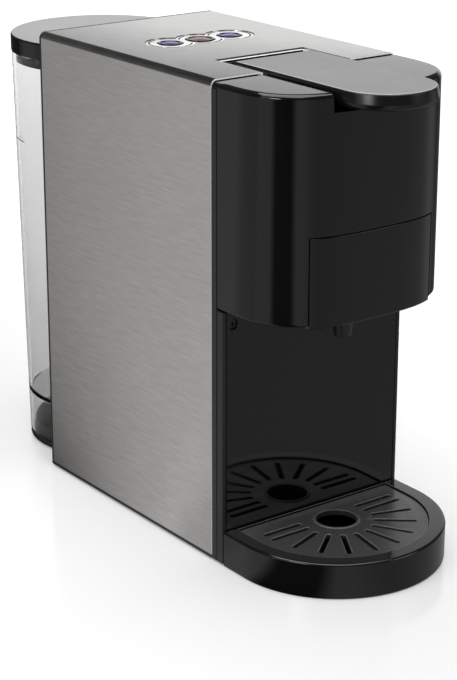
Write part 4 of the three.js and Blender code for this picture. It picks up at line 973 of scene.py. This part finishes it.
def tank_solid(name, inset, bottom, top, corner):
    """The tapered tank, its front flat and its corners rounded, between two heights, inset on every side."""
    start, end = ends("tank_body")
    centre_y = end.y - end.x
    flat = start.y + inset
    base_radius, top_radius = end.x - TANK_TAPER, end.x

    def radius_at(z):
        return base_radius + (top_radius - base_radius) * (z - start.z) / (end.z - start.z) - inset
    bpy.ops.object.select_all(action="DESELECT")
    bpy.ops.mesh.primitive_cone_add(vertices=160, radius1=radius_at(bottom), radius2=radius_at(top),
                                    depth=top - bottom, location=(0, centre_y, (bottom + top) / 2))
    solid = fresh(name)
    bpy.ops.object.mode_set(mode="EDIT")
    bpy.ops.mesh.select_all(action="SELECT")
    bpy.ops.mesh.bisect(plane_co=(0, flat, 0), plane_no=(0, 1, 0), clear_inner=True, use_fill=True)
    done_editing()
    tall = 0.5 * (top - bottom)

    def upright(edge):
        return abs(edge.verts[0].co.z - edge.verts[1].co.z) > tall

    def on_flat(edge):
        return all(abs(vertex.co.y - flat) < 1e-5 for vertex in edge.verts)
    select_where(solid, "EDGE", lambda edge: upright(edge) and not on_flat(edge) and (
        min(vertex.co.y for vertex in edge.verts) < flat + 1.6 * corner))
    bpy.ops.mesh.dissolve_edges(use_verts=True)
    done_editing()
    round_edges(solid, lambda edge: upright(edge) and on_flat(edge), corner, segments=8)
    return solid


class COFFEE_OT_tank(bpy.types.Operator):
    """Builds the clear tank on its skirt, the lid with its seal, and the level line"""
    bl_idname = "coffee.tank"
    bl_label = "Water tank"

    def execute(self, context):
        sizes = context.scene.coffee_sizes
        start, end = ends("tank_body")
        centre = Vector((0, end.y - end.x, 0))
        floor_low = low("tank_valve_cage").z - 2.8 * MM
        corner = sizes.tank_corner_radius
        tank = tank_solid("water_tank", 0, start.z, end.z, corner)
        round_edges(tank, rim_at(start.z), sizes.tank_foot_radius, segments=8)
        water = tank_solid("water", TANK_WALL, floor_low + TANK_FLOOR, end.z + MM, corner - TANK_WALL)
        round_edges(water, rim_at(floor_low + TANK_FLOOR), MM, segments=4)
        skirt = tank_solid("skirt", TANK_WALL, start.z - MM, floor_low, corner - TANK_WALL)
        valve = post("valve", VALVE_HOLE, centre, start.z, floor_low + 5 * MM)
        carve(tank, water, skirt, valve)
        soften(tank, 0.4 * MM, segments=2)
        finish(tank, "tank", "clear_plastic", "Clear plastic", "tank_body")

        lid_low, lid_high = ends("tank_lid")
        lid = post("tank_cover", lid_high.x, centre, lid_low.z, lid_high.z, 192)
        select_where(lid, "FACE", lambda face: True)
        bpy.ops.mesh.bisect(plane_co=(0, lid_low.y, 0), plane_no=(0, 1, 0), clear_inner=True, use_fill=True)
        done_editing()
        round_edges(lid, rim_at(lid_high.z), 1.3 * MM, segments=6)
        soften(lid, 0.4 * MM, segments=2)
        finish(lid, "tank_lid", "gloss_black", "Gloss black", "tank_lid")
        paint(lid, "Lid grey", lambda face: face.normal.z > 0.9)
        dress("Soft rubber", "tank_lid_seal")

        radius = end.x - TANK_TAPER * (end.z - LEVEL_HEIGHT) / (end.z - start.z)
        band = post("level_line", radius + 0.25 * MM, centre, LEVEL_HEIGHT, LEVEL_HEIGHT + 0.9 * MM, 256)
        inner = post("inner", radius + 0.03 * MM, centre, LEVEL_HEIGHT - MM, LEVEL_HEIGHT + 2 * MM, 256)
        bearing = math.radians(166)
        away = Vector((math.cos(bearing), math.sin(bearing), 0))
        carve(band, inner)
        window = block("window", (-8 * MM, 8 * MM), (-8 * MM, 8 * MM),
                       (LEVEL_HEIGHT - MM, LEVEL_HEIGHT + 2 * MM))
        window.data.transform(Matrix.Translation(centre + away * radius) @ Matrix.Rotation(bearing, 4, "Z"))
        carve(band, window, operation="INTERSECT")
        finish(band, "tank", "clear_plastic", "Level mark")
        return {"FINISHED"}


class COFFEE_OT_base(bpy.types.Operator):
    """Builds the base, its feet, the rear panel, the cord gland and the dock under the tank"""
    bl_idname = "coffee.base"
    bl_label = "Base and rear"

    def execute(self, context):
        for node_name, name in (("base_pan", "base_shell"), ("rear_panel", "rear_cover"),
                                ("tank_dock", "dock_plate")):
            piece = merged_copy(node_name, name)
            soften(piece, 0.3 * MM, segments=2)
            finish(piece, "chassis", "satin_black", "Satin black", node_name)
        for name in [name for name in NODES if name.startswith("foot_")]:
            start, end = ends(name)
            radius = (end.x - start.x) / 2
            foot = turned(name.replace("foot", "pad"), [
                (radius - 2 * MM, start.z + 0.5 * MM), (radius - 1.8 * MM, start.z),
                (radius - 0.8 * MM, start.z), (radius - 0.2 * MM, start.z + 0.3 * MM),
                (radius, start.z + 0.9 * MM), (radius, end.z)], middle(name), vertices=48)
            finish(foot, "chassis", "rubber", "Soft rubber", name)
        start, end = ends("cord_gland")
        axis = middle("cord_gland")
        radius = (end.x - start.x) / 2
        panel = high("rear_panel").y

        def rod(name, size, front, back):
            return cylinder(name, size, (axis.x, front, axis.z), (axis.x, back, axis.z), 48)
        gland = rod("cord_entry", radius - 1.7 * MM, start.y, end.y)
        carve(gland, rod("collar", radius, panel + SEAM, panel + 2.3 * MM), operation="UNION")
        carve(gland, rod("bore", CORD_BORE, start.y - MM, end.y + MM))
        soften(gland, 0.4 * MM, segments=3)
        finish(gland, "chassis", "rubber", "Soft rubber", "cord_gland")
        return {"FINISHED"}


INNER_FINISHES = {
    "Silicone": ("dock_seal", "plunger_seal", "tube_tank_to_pump", "tube_pump_to_heater",
                 "tube_heater_to_brew"),
    "White plastic": ("plunger", "pump_body", "flow_meter", "tank_valve", "tank_valve_cage"),
    "Grey plastic": ("brew_frame", "plunger_carriage", "bulkhead"),
    "Plated steel": ("guide_post_left", "guide_post_right", "pump_coil", "tank_valve_spring"),
    "Satin black": ("hinge_bracket_left", "hinge_bracket_right", "lever_bay", "pump_bracket"),
    "Cast aluminium": ("thermoblock",),
    "Board green": ("control_board", "power_board"),
}


class COFFEE_OT_inner(bpy.types.Operator):
    """Gives the working pieces inside their finishes"""
    bl_idname = "coffee.inner"
    bl_label = "Inner pieces"

    def execute(self, context):
        for material_name, nodes in INNER_FINISHES.items():
            dress(material_name, *nodes)
        return {"FINISHED"}


class COFFEE_OT_finishes(bpy.types.Operator):
    """Builds every finish from the shared shader groups"""
    bl_idname = "coffee.finishes"
    bl_label = "Finishes"

    def execute(self, context):
        make_materials(context.scene.coffee_look)
        return {"FINISHED"}


FLOOR_GLOW = 0.46
# bearing, half angle and soft edge in degrees, and the change of tone
FLOOR_FLAGS = (
    (213, 14, 10, -0.46),
    (300, 34, 20, -0.18),
    (53, 45, 20, -0.42),
    (131, 5, 8, 0.12),
    (112, 14, 18, -0.2),
    (152, 9, 8, -0.1),
)


class COFFEE_OT_stage(bpy.types.Operator):
    """Sets the pale floor, the soft lights and the camera"""
    bl_idname = "coffee.stage"
    bl_label = "Studio"

    def execute(self, context):
        self.floor()
        self.world()
        self.lamp("key_top", (-0.2, -0.1, 1.7), (0, 0, 0.1), (1.8, 1.8), 40)
        self.lamp("fill_left", (-1.9, -0.2, 0.9), (0, 0, 0.15), (1.0, 1.0), 3)
        self.card("back_sweep", (0.83, 0.7, 0.34), (0, 0, 0.3), (1.6, 0.75), 1.15)
        self.card("front_sweep", (1.3, -1.9, 0.9), (0, 0, 0.1), (1.6, 1.0), 3.0)
        self.card("corner_box", (-1.4, -0.5, 0.62), (0, -0.1, 0.25), (0.7, 0.5), 8.0)
        self.camera()
        return {"FINISHED"}

    def plane(self, name, size):
        bpy.ops.object.select_all(action="DESELECT")
        bpy.ops.mesh.primitive_plane_add(size=size)
        return fresh(name)

    def floor(self):
        """A wide pale sheet that mirrors the machine faintly."""
        floor = self.plane("studio_floor", 40)
        material, tree, shader = bare_material("Studio floor")
        seen = self.seen(tree)
        place = object_place(tree)
        far = remap(tree, vector_maths(tree, "LENGTH", place), 0.35, 1.3, 0.0, 1.0)
        paper = blend_colours(tree, far, (0.25, 0.25, 0.25, 1), (1, 1, 1, 1))
        base = blend_colours(tree, seen, (0, 0, 0, 1), (0.75, 0.75, 0.75, 1))
        tree.links.new(base, shader.inputs["Base Color"])
        glow = blend_colours(tree, seen, self.reflected_tone(tree, place), paper)
        tree.links.new(glow, shader.inputs["Emission Color"])
        tree.links.new(remap(tree, seen, 0.0, 1.0, 1.0, 0.12), shader.inputs["Roughness"])
        shader.inputs["IOR"].default_value = 1.9
        shader.inputs["Emission Strength"].default_value = 1.0
        floor.data.materials.append(material)

    def seen(self, tree):
        """1 for what the view sees straight or through clear plastic, 0 for what surfaces reflect."""
        path = node(tree, "ShaderNodeLightPath").outputs
        return maths(tree, "MAXIMUM", path["Is Camera Ray"], path["Is Transmission Ray"])

    def reflected_tone(self, tree, place):
        """What glossy pieces see in the floor: a mid tone with a paler or darker flag at each bearing."""
        plan = vector_maths(tree, "MULTIPLY", place, (1, 1, 0))
        heading = vector_maths(tree, "NORMALIZE", vector_maths(tree, "SUBTRACT", plan, (0, -0.1, 0)))
        tone = FLOOR_GLOW
        for degrees, half_angle, soft, change in FLOOR_FLAGS:
            towards = (math.cos(math.radians(degrees)), math.sin(math.radians(degrees)), 0)
            outer, inner = math.cos(math.radians(half_angle + soft)), math.cos(math.radians(half_angle))
            facing = vector_maths(tree, "DOT_PRODUCT", heading, towards)
            tone = maths(tree, "ADD", remap(tree, facing, outer, inner, 0.0, change), tone)
        return grey(tree, maths(tree, "ADD", tone, 0.0, use_clamp=True))

    def world(self):
        """White behind the machine, and dim for what its surfaces reflect."""
        world = bpy.data.worlds.new("Studio")
        bpy.context.scene.world = world
        world.use_nodes = True
        tree = world.node_tree
        sky = blend_colours(tree, self.seen(tree), (0.12, 0.12, 0.12, 1), (1, 1, 1, 1))
        tree.links.new(sky, tree.nodes["Background"].inputs["Color"])

    def card(self, name, place, target, size, strength):
        """A soft reflector that only shows up in reflections and fades out towards its edges."""
        card = self.plane(name, 1)
        card.scale = (size[0], size[1], 1)
        card.location = place
        card.rotation_euler = (Vector(target) - Vector(place)).to_track_quat("Z", "Y").to_euler()
        material, tree, shader = bare_material(name)
        edge = node(tree, "ShaderNodeSeparateXYZ",
                    {0: node(tree, "ShaderNodeTexCoord").outputs["UV"]}).outputs
        fades = []
        for axis in (0, 1):
            away = maths(tree, "ABSOLUTE", maths(tree, "SUBTRACT", edge[axis], 0.5))
            fades.append(remap(tree, away, 0.5, 0.2, 0.0, 1.0))
        tree.links.new(grey(tree, maths(tree, "MULTIPLY", *fades)), shader.inputs["Emission Color"])
        shader.inputs["Emission Strength"].default_value = strength
        shader.inputs["Base Color"].default_value = (0, 0, 0, 1)
        shader.inputs["Specular IOR Level"].default_value = 0
        card.data.materials.append(material)
        for kind in ("camera", "diffuse", "shadow", "transmission"):
            setattr(card, "visible_" + kind, False)

    def lamp(self, name, place, target, size, power):
        light = bpy.data.lights.new(name, "AREA")
        light.shape = "RECTANGLE"
        light.size, light.size_y = size
        light.energy = power
        lamp = bpy.data.objects.new(name, light)
        bpy.context.scene.collection.objects.link(lamp)
        lamp.location = place
        lamp.rotation_euler = (Vector(target) - Vector(place)).to_track_quat("-Z", "Y").to_euler()

    def camera(self):
        data = bpy.data.cameras.new("view")
        camera = bpy.data.objects.new("view", data)
        bpy.context.scene.collection.objects.link(camera)
        camera.location = (-0.6501, -0.8823, 0.4813)
        camera.rotation_euler = (math.radians(71.08), 0, math.radians(-36.62))
        data.sensor_width = 36
        data.lens = 102.56
        data.shift_x = 0.0069
        data.shift_y = -0.0243
        bpy.context.scene.camera = camera
        bpy.context.scene.view_settings.view_transform = "Standard"


# ----------------------------------------------------------------------------------------------------
# Panel and run
# ----------------------------------------------------------------------------------------------------

STEPS = (
    COFFEE_OT_stage, COFFEE_OT_finishes, COFFEE_OT_steel_cover, COFFEE_OT_front, COFFEE_OT_head,
    COFFEE_OT_drawer, COFFEE_OT_lever, COFFEE_OT_buttons, COFFEE_OT_drip_tray, COFFEE_OT_tank,
    COFFEE_OT_base, COFFEE_OT_inner,
)


class COFFEE_PT_panel(bpy.types.Panel):
    """Lists the building steps and their sizes"""
    bl_idname = "COFFEE_PT_panel"
    bl_label = "Coffee machine"
    bl_space_type = "VIEW_3D"
    bl_region_type = "UI"
    bl_category = "Coffee machine"

    def draw(self, context):
        for values in (context.scene.coffee_sizes, context.scene.coffee_look):
            for name in values.bl_rna.properties.keys():
                if name not in ("rna_type", "name"):
                    self.layout.prop(values, name)
        for step in STEPS:
            self.layout.operator(step.bl_idname)


CLASSES = (CoffeeSizes, CoffeeLook, *STEPS, COFFEE_PT_panel)


def register():
    for item in CLASSES:
        bpy.utils.register_class(item)
    bpy.types.Scene.coffee_sizes = bpy.props.PointerProperty(type=CoffeeSizes)
    bpy.types.Scene.coffee_look = bpy.props.PointerProperty(type=CoffeeLook)


def unregister():
    del bpy.types.Scene.coffee_look
    del bpy.types.Scene.coffee_sizes
    for item in reversed(CLASSES):
        bpy.utils.unregister_class(item)


def main():
    register()
    for step in STEPS:
        family, action = step.bl_idname.split(".")
        getattr(getattr(bpy.ops, family), action)()


if __name__ == "__main__":
    main()
